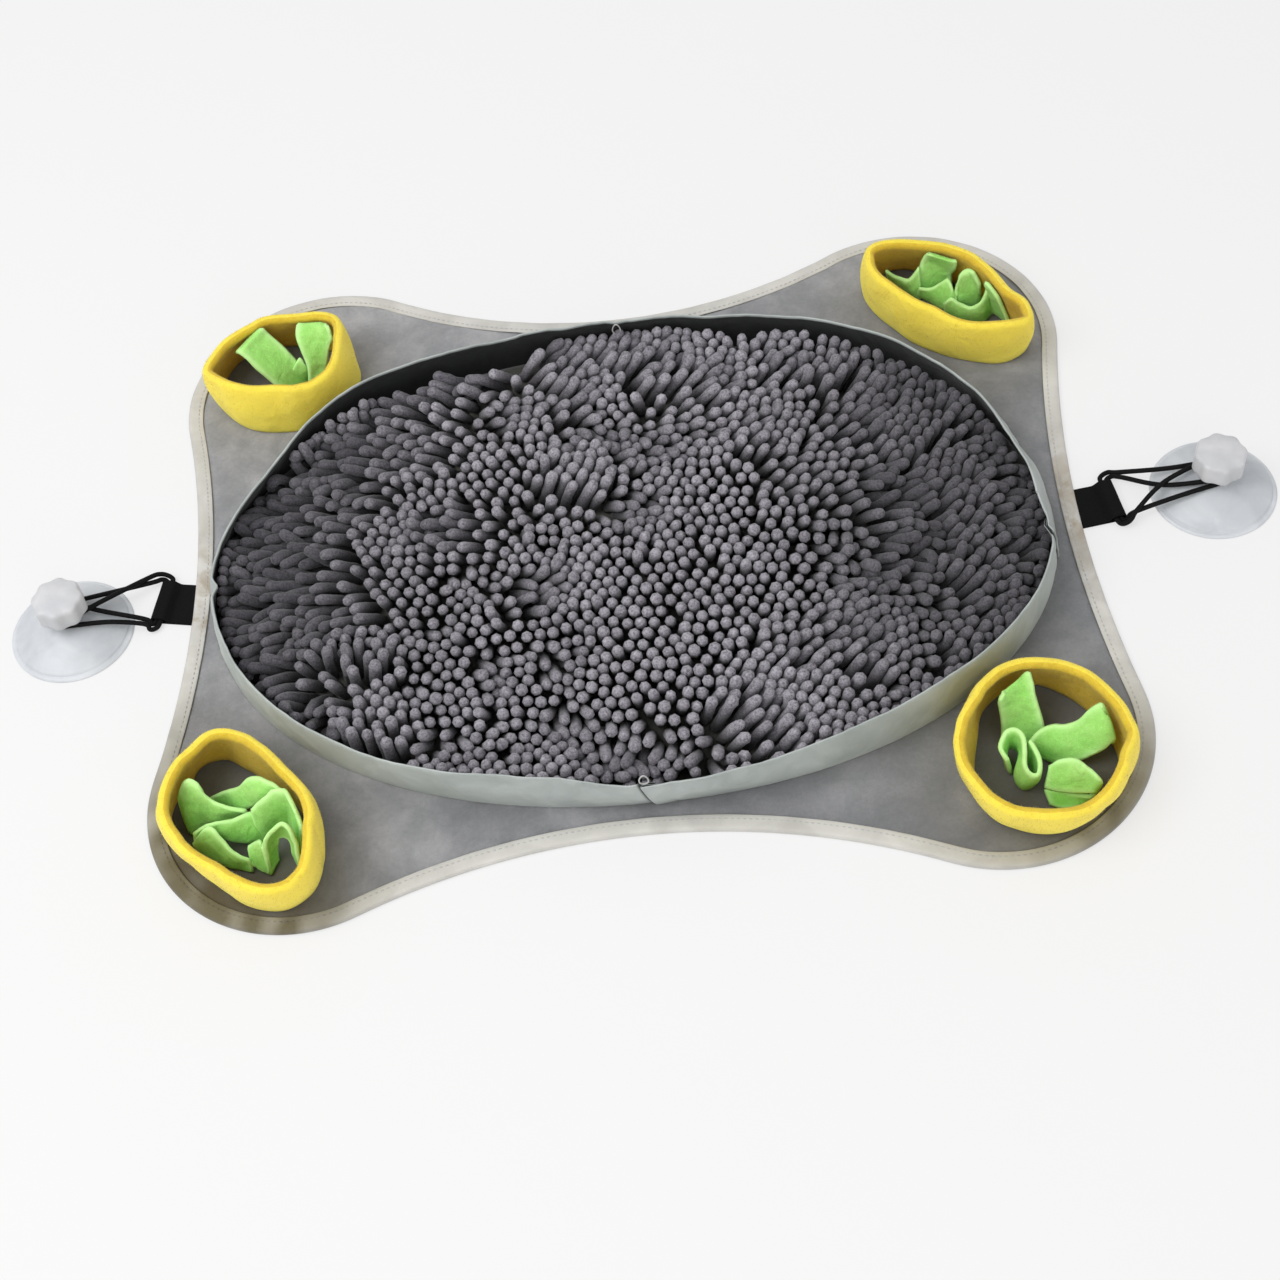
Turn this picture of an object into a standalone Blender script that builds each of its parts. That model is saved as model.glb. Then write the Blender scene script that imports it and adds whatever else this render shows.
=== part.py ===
"""Snuffle mat: a bound felt mat with an oval wall full of chenille pile, fleece rings and suction cups.

Every size below is in millimetres, and MM turns it into metres where a mesh is made. +X is right, +Y is
the back and +Z is up. The origin is on the underside of the mat, at its centre.
"""
from collections import namedtuple

import bmesh
import bpy
import numpy as np
from mathutils.geometry import delaunay_2d_cdt

MM = 0.001
GAP = 0.3                       # clear space between sewn or fitted neighbours

# ---- mat and binding
BASE_TOP = 3.0                  # the felt is 3 mm thick
RIM_LOW, RIM_HIGH = 1.1, 2.5    # the felt's edge, pressed thin inside the binding
TAPE = 0.8                      # thickness of the binding tape
TAPE_WIDTH = 10.0
TAPE_TOP = RIM_HIGH + GAP + TAPE
Corner = namedtuple("Corner", "x y radius")
CORNERS = (                     # back right first, then anticlockwise
    Corner(200.0, 160.0, 99.0),
    Corner(-200.0, 157.0, 99.0),
    Corner(-209.0, -160.0, 92.0),
    Corner(207.0, -158.0, 94.0),
)
HOLLOW_RADII = (313.0, 669.0, 421.0, 790.0)     # back, left, front and right side
ARC_STEPS = 13                  # points on each corner and on each hollow

# ---- oval wall
FENCE_TOP = 42.0
FENCE_THICK = 1.8               # two layers of cloth
FENCE_STEPS = 88
FENCE_BULGE = 1.5               # how far the wall bows out at half height
Oval = namedtuple("Oval", "x y long short power")
FENCE_FOOT = Oval(0.0, -5.0, 268.0, 182.0, 2.1)
FENCE_RIM = Oval(-1.6, -13.1, 258.7, 181.0, 2.13)
Wave = namedtuple("Wave", "angle out")
FENCE_WAVES = (                 # how far the rim stands out of its oval, round the wall
    Wave(14, -7.0), Wave(42, 6.0), Wave(75, -1.0), Wave(115, -2.0), Wave(140, 4.0), Wave(162, -9.0),
    Wave(183, 1.0), Wave(225, 0.0), Wave(250, -4.0), Wave(271, 5.0), Wave(318, -3.0), Wave(353, 6.0),
)
Dart = namedtuple("Dart", "angle depth half_width")
FENCE_DARTS = (                 # where the cloth is pinched in at the rim
    Dart(89, 6.0, 8.0), Dart(183, 5.0, 8.0), Dart(270.5, 6.0, 9.0), Dart(353, 8.0, 9.0),
)

LOOP_THREAD = 0.9               # thread loops at the front and back darts
LOOP_LONG, LOOP_SHORT = 4.4, 2.6
LOOP_STEPS = 12

# ---- pile
PILE_MARGIN = 16.0              # from the wall in to the slab's edge
PILE_TOP = 23.0                 # height of the hollows between lumps
LUMP_RISE = 7.0
LUMP_PITCH = 27.0
EDGE_DROP = 5.0                 # the pile is laid lower at its rim
LOCK_COUNT = 66
LOCK_WIDTH = 10.0
LOCK_CLEAR = 2.0                # from a lock's tip to the wall
LOCK_ROOT = 8.0                 # how far a lock starts inside the slab

# ---- rings
RING_TOP = 47.0
RING_WALL = 7.0                 # two layers of fleece round a soft fold
RING_STEPS = 36
RING_BELLY = 2.5
Ellipse = namedtuple("Ellipse", "x y long short turn")
Ring = namedtuple("Ring", "name foot rim")
RINGS = (
    Ring("back_left", Ellipse(-225, 169, 46, 39, 5), Ellipse(-229, 161, 53, 38, 10)),
    Ring("back_right", Ellipse(227, 175, 57, 32, -40), Ellipse(226, 168, 60, 35, -39)),
    Ring("front_left", Ellipse(-235, -184, 57, 42, 115), Ellipse(-231, -191, 59, 47, 118)),
    Ring("front_right", Ellipse(231, -182, 50, 46, 90), Ellipse(228, -192, 55, 53, 90)),
)

# ---- fleece strips in the rings
STRIP_THICK = 1.8
STRIP_STEPS = 13
# the two edges of a strip, row by row along it: x and y from the ring's rim centre, z from the floor
Row = namedtuple("Row", "edge_x edge_y edge_z other_x other_y other_z")
STRIPS = {
    "back_left": (
        (Row(3, -3, 5, 13, 14, 5), Row(-5, 1, 17, 10, 18, 19), Row(-16, 7, 28, -1, 24, 31),
         Row(-26, 12, 40, -11, 30, 43)),
        (Row(17, 16, 5, 28, 16, 5), Row(17, 14, 20, 30, 16, 21), Row(14, 18, 31, 32, 19, 31),
         Row(14, 27, 42, 33, 24, 42)),
        (Row(7, -8, 5, 14, 3, 15), Row(12, -5, 5, 17, 5, 19), Row(17, -1, 5, 20, 7, 17)),
    ),
    "back_right": (
        (Row(-33, 33, 8, -33, 31, 26), Row(-29, 33, 6, -29, 30, 25), Row(-21, 29, 5, -21, 29, 22),
         Row(-15, 26, 5, -17, 28, 16)),
        (Row(-11, 21, 5, 3, 22, 5), Row(-17, 23, 20, 5, 23, 19), Row(-17, 27, 32, 8, 26, 32),
         Row(-10, 30, 41, 9, 28, 42)),
        (Row(-13, 11, 5, -15, 17, 18), Row(-6, 8, 5, -5, 15, 18), Row(0, 5, 5, 2, 16, 20)),
        (Row(8, 11, 5, 8, 13, 16), Row(13, 13, 5, 10, 17, 27), Row(19, 15, 5, 16, 18, 33),
         Row(24, 13, 6, 24, 15, 30), Row(26, 8, 6, 26, 11, 22)),
        (Row(3, 3, 5, 2, 5, 18), Row(9, -4, 5, 8, 2, 20), Row(17, -9, 5, 17, -4, 22),
         Row(27, -10, 5, 26, -1, 25), Row(33, -8, 6, 32, 4, 28), Row(38, -11, 5, 36, 2, 28)),
    ),
    "front_left": (
        (Row(-9, 13, 5, -4, 14, 22), Row(-19, 11, 5, -15, 14, 28), Row(-28, 10, 5, -24, 17, 33),
         Row(-33, 6, 6, -31, 22, 38), Row(-36, 2, 8, -38, 20, 36), Row(-36, 0, 8, -38, 10, 27)),
        (Row(-34, -6, 5, -29, 5, 25), Row(-27, -10, 5, -19, 3, 26), Row(-15, -14, 5, -9, -2, 22),
         Row(-2, -13, 5, 3, -5, 18)),
        (Row(-32, -11, 6, -32, -5, 20), Row(-28, -14, 5, -26, -4, 24), Row(-22, -20, 5, -19, -7, 22),
         Row(-12, -27, 5, -9, -16, 16), Row(-2, -30, 5, 1, -24, 12)),
        (Row(2, -21, 5, 3, -9, 16), Row(8, -26, 5, 9, -14, 15), Row(11, -31, 5, 10, -23, 11)),
        (Row(-8, 18, 5, -6, 20, 20), Row(-15, 19, 5, -12, 21, 24), Row(-12, 29, 5, -7, 25, 33),
         Row(-3, 30, 5, 1, 28, 37), Row(6, 25, 6, 11, 26, 37), Row(12, 20, 8, 17, 22, 34)),
        (Row(-3, 6, 5, -1, 10, 20), Row(1, 10, 5, 8, 14, 28), Row(10, 10, 6, 18, 14, 34),
         Row(16, 6, 6, 25, 9, 36), Row(20, -1, 6, 28, 0, 32), Row(22, -8, 8, 28, -7, 26)),
        (Row(9, -15, 5, 8, -6, 17), Row(12, -13, 5, 14, -4, 27), Row(17, -11, 5, 20, -3, 30),
         Row(22, -16, 5, 25, -9, 29), Row(24, -22, 6, 27, -16, 24), Row(24, -27, 6, 27, -23, 18)),
    ),
    "front_right": (
        (Row(-14, 18, 5, 6, 21, 5), Row(-17, 21, 14, 5, 26, 16), Row(-18, 26, 27, 1, 33, 30),
         Row(-20, 33, 38, -2, 43, 43)),
        (Row(6, -1, 5, 6, 11, 5), Row(13, 3, 16, 10, 21, 18), Row(23, -1, 24, 23, 19, 26),
         Row(32, -1, 29, 30, 19, 33), Row(40, 3, 33, 37, 20, 40)),
        (Row(5, -14, 7, 10, -4, 8), Row(13, -20, 15, 17, -7, 16), Row(22, -22, 16, 28, -12, 17),
         Row(28, -22, 11, 32, -15, 12), Row(23, -25, 6, 27, -18, 6), Row(11, -27, 6, 15, -19, 6)),
        (Row(-4, -13, 5, -4, -7, 17), Row(-9, -2, 5, -9, 4, 22), Row(-13, 8, 5, -13, 11, 25),
         Row(-20, 6, 5, -20, 8, 24), Row(-19, -5, 5, -19, -1, 22), Row(-14, -17, 5, -15, -11, 19),
         Row(-7, -22, 5, -6, -14, 14)),
    ),
}

# ---- tabs, elastics, cups and nuts
WEBBING = 1.1
TAB_WIDTH = 30.0
TUNNEL = 3.8                    # height inside the fold that holds the elastic
TUNNEL_BACK = 5.0               # from the tab's end back to the tunnel's middle
CORD = 2.8
CORD_SIDES = 5
CORD_STEPS = 2                  # points on a cord for each row of its path
NECK_ROWS = 9
Side = namedtuple("Side", "name way root_y heading reach cup_x cup_y crossing")
SIDES = (                       # crossing is where the elastic crosses, as a share of its run
    Side("left", -1, -8.5, 169.0, 25.0, -361.5, -19.5, 0.70),
    Side("right", 1, 0.5, 8.0, 27.0, 372.5, 6.5, 0.50),
)
CUP_RADIUS = 39.8
NECK_RADIUS = 7.6
NECK_LOW, NECK_HIGH = 16.6, 23.2
STUD_RADIUS, STUD_TOP = 4.0, 34.0
Turned = namedtuple("Turned", "radius z")
CUP_PROFILE = (                 # from the middle of the hollow, over the rim, to the stud's end
    Turned(4.0, 10.0), Turned(16.0, 8.8), Turned(26.0, 5.4), Turned(34.0, 1.6), Turned(37.0, 0.0),
    Turned(CUP_RADIUS, 0.0), Turned(CUP_RADIUS, 1.2), Turned(36.0, 3.8), Turned(28.5, 8.0),
    Turned(20.0, 11.8), Turned(12.5, 14.6), Turned(NECK_RADIUS, NECK_LOW), Turned(NECK_RADIUS, NECK_HIGH),
    Turned(STUD_RADIUS, NECK_HIGH), Turned(STUD_RADIUS, STUD_TOP),
)
CUP_STEPS = 28
NUT_LOW, NUT_HIGH = NECK_HIGH + GAP, 37.6
NUT_CROWN = 39.0
NUT_CROWN_RADIUS = 6.0
NUT_RADIUS = 15.8
NUT_LOBES, NUT_LOBE_DEPTH = 8, 0.7
NUT_STEPS = 40

# ---- colours
Finish = namedtuple("Finish", "colour roughness")
FINISHES = {
    "felt": Finish((0.27, 0.27, 0.29), 0.95),
    "tape": Finish((0.50, 0.49, 0.46), 0.9),
    "wall_cloth": Finish((0.42, 0.44, 0.42), 0.9),
    "thread": Finish((0.70, 0.70, 0.68), 0.8),
    "chenille": Finish((0.13, 0.125, 0.14), 0.95),
    "yellow_fleece": Finish((0.80, 0.56, 0.06), 0.95),
    "green_fleece": Finish((0.27, 0.72, 0.13), 0.95),
    "webbing": Finish((0.01, 0.01, 0.01), 0.8),
    "elastic": Finish((0.01, 0.01, 0.01), 0.7),
    "cup": Finish((0.80, 0.83, 0.85), 0.25),
    "nut": Finish((0.80, 0.80, 0.80), 0.35),
}


def finish(name):
    """The material of that name, made once."""
    material = bpy.data.materials.get(name)
    if material is None:
        material = bpy.data.materials.new(name)
        material.use_nodes = True
        shader = material.node_tree.nodes["Principled BSDF"]
        shader.inputs["Base Color"].default_value = (*FINISHES[name].colour, 1.0)
        shader.inputs["Roughness"].default_value = FINISHES[name].roughness
        shader.inputs["Metallic"].default_value = 0.0
    return material


def add_object(name, mesh_points, faces, material, crease=40.0):
    """One closed body from points in millimetres, its faces turned outwards and its round parts smooth."""
    mesh = bpy.data.meshes.new(name)
    mesh.from_pydata((np.asarray(mesh_points, float) * MM).tolist(), [], faces)
    shell = bmesh.new()
    shell.from_mesh(mesh)
    bmesh.ops.recalc_face_normals(shell, faces=shell.faces)
    shell.to_mesh(mesh)
    shell.free()
    mesh.shade_smooth()
    mesh.set_sharp_from_angle(angle=np.radians(crease))
    mesh.materials.append(finish(material))
    made = bpy.data.objects.new(name, mesh)
    bpy.context.scene.collection.objects.link(made)
    return made


def loft(name, rows, material, closed=False):
    """Skin rows of points, each row a closed ring, in order along a path.

    A closed path joins the last row to the first. An open one ends in a flat face at each end.
    """
    rows = np.asarray(rows, float)
    count, width = rows.shape[:2]
    index = np.arange(count * width).reshape(count, width)
    ahead = np.roll(index, -1, axis=0)
    last = count if closed else count - 1
    here, there = index[:last], ahead[:last]
    quads = np.stack([here, np.roll(here, -1, axis=1), np.roll(there, -1, axis=1), there], axis=-1)
    faces = quads.reshape(-1, 4).tolist()
    if not closed:
        faces.append(index[0].tolist())
        faces.append(index[-1].tolist())
    return add_object(name, rows.reshape(-1, 3), faces, material)


def curve(rows, count, closed=False):
    """A smooth curve through the rows (Catmull-Rom), read at count even steps of its parameter."""
    rows = np.asarray(rows, float)
    size = len(rows)
    if closed:
        at = np.arange(count) * size / count
    else:
        at = np.linspace(0.0, size - 1.0, count)
    start = np.floor(at).astype(int)
    if not closed:
        start = np.minimum(start, size - 2)
    share = (at - start)[:, None]
    picks = start[:, None] + np.arange(-1, 3)[None]
    if closed:
        knots = rows[picks % size]
    else:
        ends = np.vstack([2 * rows[0] - rows[1], rows, 2 * rows[-1] - rows[-2]])
        knots = ends[picks + 1]
    before, first, second, after = (knots[:, i] for i in range(4))
    slope_1 = (second - before) / 2
    slope_2 = (after - first) / 2
    cubic = 2 * (first - second) + slope_1 + slope_2
    square = 3 * (second - first) - 2 * slope_1 - slope_2
    return ((cubic * share + square) * share + slope_1) * share + first


def unit(vectors):
    """The vectors at length 1."""
    return vectors / np.linalg.norm(vectors, axis=-1, keepdims=True)


def heading_vector(degrees):
    """Unit vectors in plan that point along the headings."""
    angle = np.radians(degrees)
    return np.stack([np.cos(angle), np.sin(angle)], axis=-1)


# ---- mat and binding

def hollow_centre(first, second, radius):
    """Centre of the hollow arc that touches two corner arcs from outside."""
    start = np.array([first.x, first.y])
    span = np.array([second.x, second.y]) - start
    length = np.linalg.norm(span)
    reach_1, reach_2 = first.radius + radius, second.radius + radius
    along = (length ** 2 + reach_1 ** 2 - reach_2 ** 2) / (2 * length)
    out = np.sqrt(reach_1 ** 2 - along ** 2)
    way = span / length
    return start + way * along + np.array([way[1], -way[0]]) * out


def arc(centre, radius, start_point, end_point, turn):
    """Points of an arc from one direction to the next, turn +1 anticlockwise or -1 clockwise."""
    begin, end = (np.arctan2(*(point - centre)[::-1]) for point in (start_point, end_point))
    sweep = (end - begin) * turn % (2 * np.pi) * turn
    angles = begin + sweep * np.arange(ARC_STEPS) / ARC_STEPS
    return centre + radius * np.stack([np.cos(angles), np.sin(angles)], axis=-1)


def outline(inset):
    """The mat's outline, moved in by inset: four corner arcs joined by four hollow arcs."""
    corners = [np.array([corner.x, corner.y]) for corner in CORNERS]
    hollows = [hollow_centre(CORNERS[i], CORNERS[(i + 1) % 4], HOLLOW_RADII[i]) for i in range(4)]
    pieces = []
    for i, corner in enumerate(CORNERS):
        ahead = corners[(i + 1) % 4]
        pieces.append(arc(corners[i], corner.radius - inset, hollows[i - 1], hollows[i], 1))
        pieces.append(arc(hollows[i], HOLLOW_RADII[i] + inset, corners[i], ahead, -1))
    return np.vstack(pieces)


def at_height(plan, z):
    """Plan points lifted to height z."""
    return np.column_stack([plan, np.broadcast_to(z, len(plan))])


def make_base():
    """Felt panel: level faces, its edge stepped in from both sides for the tape."""
    step = TAPE_WIDTH + GAP
    edge = TAPE + GAP
    levels = ((step, 0.0), (step, RIM_LOW), (edge, RIM_LOW), (edge, RIM_HIGH), (step, RIM_HIGH),
              (step, BASE_TOP))
    loft("base_panel", [at_height(outline(inset), z) for inset, z in levels], "felt")


def make_binding():
    """Tape folded over the edge: a C of even thickness carried round the outline."""
    section = ((0.0, 0.0), (TAPE_WIDTH, 0.0), (TAPE_WIDTH, TAPE), (TAPE, TAPE),
               (TAPE, TAPE_TOP - TAPE), (TAPE_WIDTH, TAPE_TOP - TAPE), (TAPE_WIDTH, TAPE_TOP),
               (0.0, TAPE_TOP))
    loft("edge_binding", [at_height(outline(inset), z) for inset, z in section], "tape", closed=True)


# ---- oval wall

def oval_radius(oval, angles):
    """Radius of the superellipse whose power is 2 for an ellipse and more for a squarer oval."""
    cosine = np.abs(np.cos(np.radians(angles))) / oval.long
    sine = np.abs(np.sin(np.radians(angles))) / oval.short
    return (cosine ** oval.power + sine ** oval.power) ** (-1 / oval.power)


def rim_wave(angles):
    """The rim's waves, smooth between the rows of FENCE_WAVES."""
    knots = np.array([wave.angle for wave in FENCE_WAVES], float)
    outs = np.array([wave.out for wave in FENCE_WAVES])
    turned = (np.asarray(angles, float) - knots[0]) % 360
    spans = np.append(knots, knots[0] + 360) - knots[0]
    segment = np.clip(np.searchsorted(spans, turned, side="right") - 1, 0, len(knots) - 1)
    share = (turned - spans[segment]) / (spans[segment + 1] - spans[segment])
    ease = share * share * (3 - 2 * share)
    return outs[segment] * (1 - ease) + outs[(segment + 1) % len(knots)] * ease


def fence_line(angles, share, offset=0.0, darts=True):
    """The wall's plan line at a share of its height, moved outwards by offset.

    It runs straight from the foot oval to the waved rim oval, bowed out by a half sine, and is pinched in
    at the darts, more towards the rim.
    """
    angles = np.asarray(angles, float)
    way = heading_vector(angles)
    foot = np.array([FENCE_FOOT.x, FENCE_FOOT.y]) + way * oval_radius(FENCE_FOOT, angles)[:, None]
    rim_radius = oval_radius(FENCE_RIM, angles) + rim_wave(angles)
    rim = np.array([FENCE_RIM.x, FENCE_RIM.y]) + way * rim_radius[:, None]
    out = offset + FENCE_BULGE * np.sin(np.pi * share)
    if darts:
        for dart in FENCE_DARTS:
            turn = (angles - dart.angle + 180) % 360 - 180
            away = np.abs(np.radians(turn)) * rim_radius
            out = out - dart.depth * share * np.clip(1 - away / dart.half_width, 0, 1)
    return foot + (rim - foot) * share + way * np.broadcast_to(out, len(angles))[:, None]


def fence_angles():
    """Even steps round the wall, with three more at each dart."""
    steps = list(np.arange(FENCE_STEPS) * 360 / FENCE_STEPS)
    for dart in FENCE_DARTS:
        radius = oval_radius(FENCE_RIM, dart.angle)
        half = np.degrees(dart.half_width / radius)
        near = half + 0.3 * 360 / FENCE_STEPS
        steps = [angle for angle in steps if abs((angle - dart.angle + 180) % 360 - 180) > near]
        steps += [(dart.angle - half) % 360, dart.angle % 360, (dart.angle + half) % 360]
    return np.array(sorted(steps))


def make_fence():
    """Upright band of doubled cloth, its fold at the top."""
    angles = fence_angles()
    foot_z = BASE_TOP + GAP
    rise = FENCE_TOP - foot_z
    half = FENCE_THICK / 2
    section = ((0.0, half), (0.5, half), (0.96, half), (1.0, 0.0), (0.96, -half), (0.5, -half),
               (0.0, -half))
    rows = [at_height(fence_line(angles, share, offset), foot_z + rise * share)
            for share, offset in section]
    loft("fence_wall", rows, "wall_cloth", closed=True)


def make_dart_loops():
    """Thread loops at the front and back darts: the front one stands on the rim, the back one hangs."""
    back_dart, front_dart = FENCE_DARTS[0], FENCE_DARTS[2]
    turns = np.arange(LOOP_STEPS) * 2 * np.pi / LOOP_STEPS
    clear = GAP + LOOP_THREAD / 2
    places = (
        ("dart_loop_front", front_dart, 1.0, 0.0, FENCE_TOP + clear + 0.2 + LOOP_LONG),
        ("dart_loop_back", back_dart, 0.96, -clear - FENCE_THICK / 2, FENCE_TOP - 1.0 - LOOP_LONG),
    )
    for name, dart, share, offset, middle_z in places:
        spot = fence_line([dart.angle], share, offset)[0]
        way = heading_vector(dart.angle + 90)
        path = np.column_stack([
            spot + np.outer(LOOP_SHORT * np.sin(turns), way),
            middle_z + LOOP_LONG * np.cos(turns),
        ])
        tube(name, path, LOOP_THREAD / 2, 5, "thread")


def tube(name, path, radius, sides, material):
    """A round cord along a closed path: rings of points square to the path."""
    along = unit(np.roll(path, -1, axis=0) - np.roll(path, 1, axis=0))
    across = np.cross(along, np.roll(along, -1, axis=0) - np.roll(along, 1, axis=0))
    flat = np.cross(along, np.array([0.0, 0.0, 1.0]))
    upright = np.abs(along[:, 2:3]).max() > 0.9
    side = unit(across if upright else flat)
    top = np.cross(side, along)
    turns = np.arange(sides) * 2 * np.pi / sides
    rows = (path[:, None] + radius * np.cos(turns)[None, :, None] * side[:, None]
            + radius * np.sin(turns)[None, :, None] * top[:, None])
    loft(name, rows, material, closed=True)


# ---- pile

def pile_edge(angles, margin):
    """The line a margin in from the wall, at a third of its height."""
    return fence_line(angles, 0.33, -margin, darts=False)


def make_pile():
    """Lumpy slab of pile with locks at its rim.

    Its top is a lattice of triangles in which every third point is a lump, and it sinks towards the rim.
    Each lock is a four-sided tapering stem, and the slab is joined to them by a union.
    """
    steps = np.arange(96) * 360 / 96
    edge = pile_edge(steps, PILE_MARGIN)
    middle = edge.mean(axis=0)
    pitch = LUMP_PITCH / np.sqrt(3)
    columns, rows = np.meshgrid(np.arange(-19, 20), np.arange(-13, 14))
    lattice = np.stack([(columns + 0.5 * (rows % 2)) * pitch, rows * pitch * np.sqrt(0.75)], axis=-1)
    is_lump = (columns - (rows - rows % 2) // 2 - rows) % 3 == 0
    lattice, is_lump = lattice.reshape(-1, 2) + middle, is_lump.reshape(-1)
    from_middle = lattice - middle
    angle = np.degrees(np.arctan2(from_middle[:, 1], from_middle[:, 0]))
    limit = np.linalg.norm(pile_edge(angle, PILE_MARGIN) - middle, axis=1)
    depth = np.linalg.norm(from_middle, axis=1) / limit
    keep = depth < 0.95
    points = np.vstack([edge, lattice[keep]])
    depth = np.concatenate([np.ones(len(edge)), depth[keep]])
    lump = np.concatenate([np.zeros(len(edge)), is_lump[keep]])
    unevenness = 1.2 * np.sin(points[:, 0] / 37.0) * np.cos(points[:, 1] / 29.0)
    height = PILE_TOP + LUMP_RISE * lump + unevenness - EDGE_DROP * depth ** 6
    loop = list(range(len(edge)))
    faces = delaunay_2d_cdt(points.tolist(), [], [loop], 1, 1e-6)[2]
    low = at_height(edge, BASE_TOP + GAP)
    size = len(points)
    walls = [[i, (i + 1) % len(edge), size + (i + 1) % len(edge), size + i] for i in loop]
    all_points = np.vstack([np.column_stack([points, height]), low])
    floor = [list(range(size, size + len(edge)))]
    pile = add_object("chenille_pile", all_points, [list(face) for face in faces] + walls + floor, "chenille")
    union = pile.modifiers.new("locks", "BOOLEAN")
    union.operation = "UNION"
    union.solver = "EXACT"
    union.object = make_locks()


def make_locks():
    """All locks in one guide object. Their heights and slants follow slow waves round the rim."""
    points, faces = [], []
    foot_z = BASE_TOP + GAP
    for i in range(LOCK_COUNT):
        angle = i * 360 / LOCK_COUNT
        slant = 2.2 * np.sin(1.7 * i) + 1.2 * np.sin(0.35 * i)
        root_z = 12.0 + 2.0 * (i % 2)
        tip_z = 17.0 + 5.0 * np.sin(2.3 * i) + 2.0 * np.cos(0.9 * i)
        tip_share = (tip_z - foot_z) / (FENCE_TOP - foot_z)
        root = np.append(pile_edge([angle], PILE_MARGIN + LOCK_ROOT)[0], root_z)
        tip_line = fence_line([angle + slant], tip_share, -LOCK_CLEAR - LOCK_WIDTH * 0.3)
        tip = np.append(tip_line[0], tip_z)
        along = unit(tip - root)
        across = unit(np.cross(along, [0.0, 0.0, 1.0]))
        top = np.cross(across, along)
        first = len(points)
        for share, swell in ((0.0, 0.9), (0.8, 1.0), (1.0, 0.5)):
            middle = root + (tip - root) * share
            half = swell * LOCK_WIDTH / 2
            points += [middle + half * (a * across + b * top) for a, b in ((1, 0), (0, 1), (-1, 0), (0, -1))]
        for ring in (first, first + 4):
            faces += [[ring + k, ring + (k + 1) % 4, ring + 4 + (k + 1) % 4, ring + 4 + k] for k in range(4)]
        faces.append([first + 3, first + 2, first + 1, first])
        faces.append([first + 8, first + 9, first + 10, first + 11])
    guide = add_object("lock_guide", points, faces, "chenille")
    guide.hide_render = True
    guide.display_type = "WIRE"
    return guide


# ---- rings and their strips

def ellipse_points(ellipse, steps, offset):
    """An ellipse moved outwards by offset, in plan."""
    turns = np.arange(steps) * 2 * np.pi / steps
    plan = np.stack([(ellipse.long + offset) * np.cos(turns), (ellipse.short + offset) * np.sin(turns)], axis=-1)
    long_way, short_way = heading_vector(ellipse.turn), heading_vector(ellipse.turn + 90)
    return np.array([ellipse.x, ellipse.y]) + plan[:, :1] * long_way + plan[:, 1:] * short_way


def make_ring(ring):
    """Soft upright band: from its foot oval to its rim oval, fuller at half height and round at the top."""
    foot_z = BASE_TOP + GAP
    wall = RING_WALL
    section = (                 # share of the height, offset from the outer line
        (0.0, -0.5), (0.3, 0.0), (0.72, 0.0), (0.93, -0.22 * wall), (1.0, -0.5 * wall),
        (0.93, -0.78 * wall), (0.72, -wall), (0.3, -wall), (0.0, 0.5 - wall),
    )
    rows = []
    for share, offset in section:
        belly = RING_BELLY * np.sin(np.pi * share)
        foot = ellipse_points(ring.foot, RING_STEPS, offset + belly)
        rim = ellipse_points(ring.rim, RING_STEPS, offset + belly)
        rows.append(at_height(foot + (rim - foot) * share, foot_z + (RING_TOP - foot_z) * share))
    loft("ring_" + ring.name, rows, "yellow_fleece", closed=True)


def make_strip(name, centre, table):
    """A fleece strip between the smooth curves of its two edges, set down on the felt."""
    rows = curve([[*row] for row in table], STRIP_STEPS)
    edge, other = rows[:, :3], rows[:, 3:]
    along = np.gradient(edge + other, axis=0)
    half = unit(np.cross(along, other - edge)) * STRIP_THICK / 2
    section = np.stack([edge - half, other - half, other + half, edge + half], axis=1)
    section += np.array([*centre, BASE_TOP + GAP - section[..., 2].min()])
    loft(name, section, "green_fleece")


# ---- tabs, elastics, cups and nuts

def mat_edge(side, y):
    """X of the mat's edge on that side, at y."""
    line = outline(0.0)
    line = line[line[:, 0] * side.way > 0]
    line = line[np.argsort(line[:, 1])]
    return np.interp(y, line[:, 1], line[:, 0])


def side_frame(side):
    """The tab's root, its outward way, the way across it and the middle of its tunnel, in plan."""
    root = np.array([mat_edge(side, side.root_y), side.root_y])
    out, across = heading_vector(side.heading), heading_vector(side.heading + 90)
    return root, out, across, root + out * (side.reach - TUNNEL_BACK)


def make_tab(side):
    """Webbing folded back over itself: two layers with a tunnel at the fold, cut to the mat's edge."""
    low, high = WEBBING / 2, 1.5 * WEBBING + GAP
    reach = side.reach - WEBBING / 2
    top = WEBBING * 1.5 + TUNNEL
    line = (                    # distance out and height of the middle of the webbing
        (0.0, low), (reach - 2.2, low), (reach - 0.4, 1.6), (reach, 3.0), (reach - 0.5, top - 1.0),
        (reach - 2.0, top), (reach - 7.4, top), (reach - 10.2, high + 1.4), (reach - 12.6, high),
        (0.0, high),
    )
    path = np.array(line)
    along = unit(np.gradient(path, axis=0))
    normal = np.column_stack([along[:, 1], -along[:, 0]]) * WEBBING / 2
    root, out, across, _ = side_frame(side)
    rows = []
    for centre, shift in zip(path, normal):
        ring = []
        for way, level in ((-1, -1), (1, -1), (1, 1), (-1, 1)):
            distance, z = centre + shift * level
            corner = root + across * way * TAB_WIDTH / 2
            if centre[0] == 0.0:
                distance = (mat_edge(side, corner[1]) + side.way * GAP - corner[0]) / out[0]
            ring.append([*(corner + out * distance), z])
        rows.append(ring)
    loft("tab_" + side.name, rows, "webbing")


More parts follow.
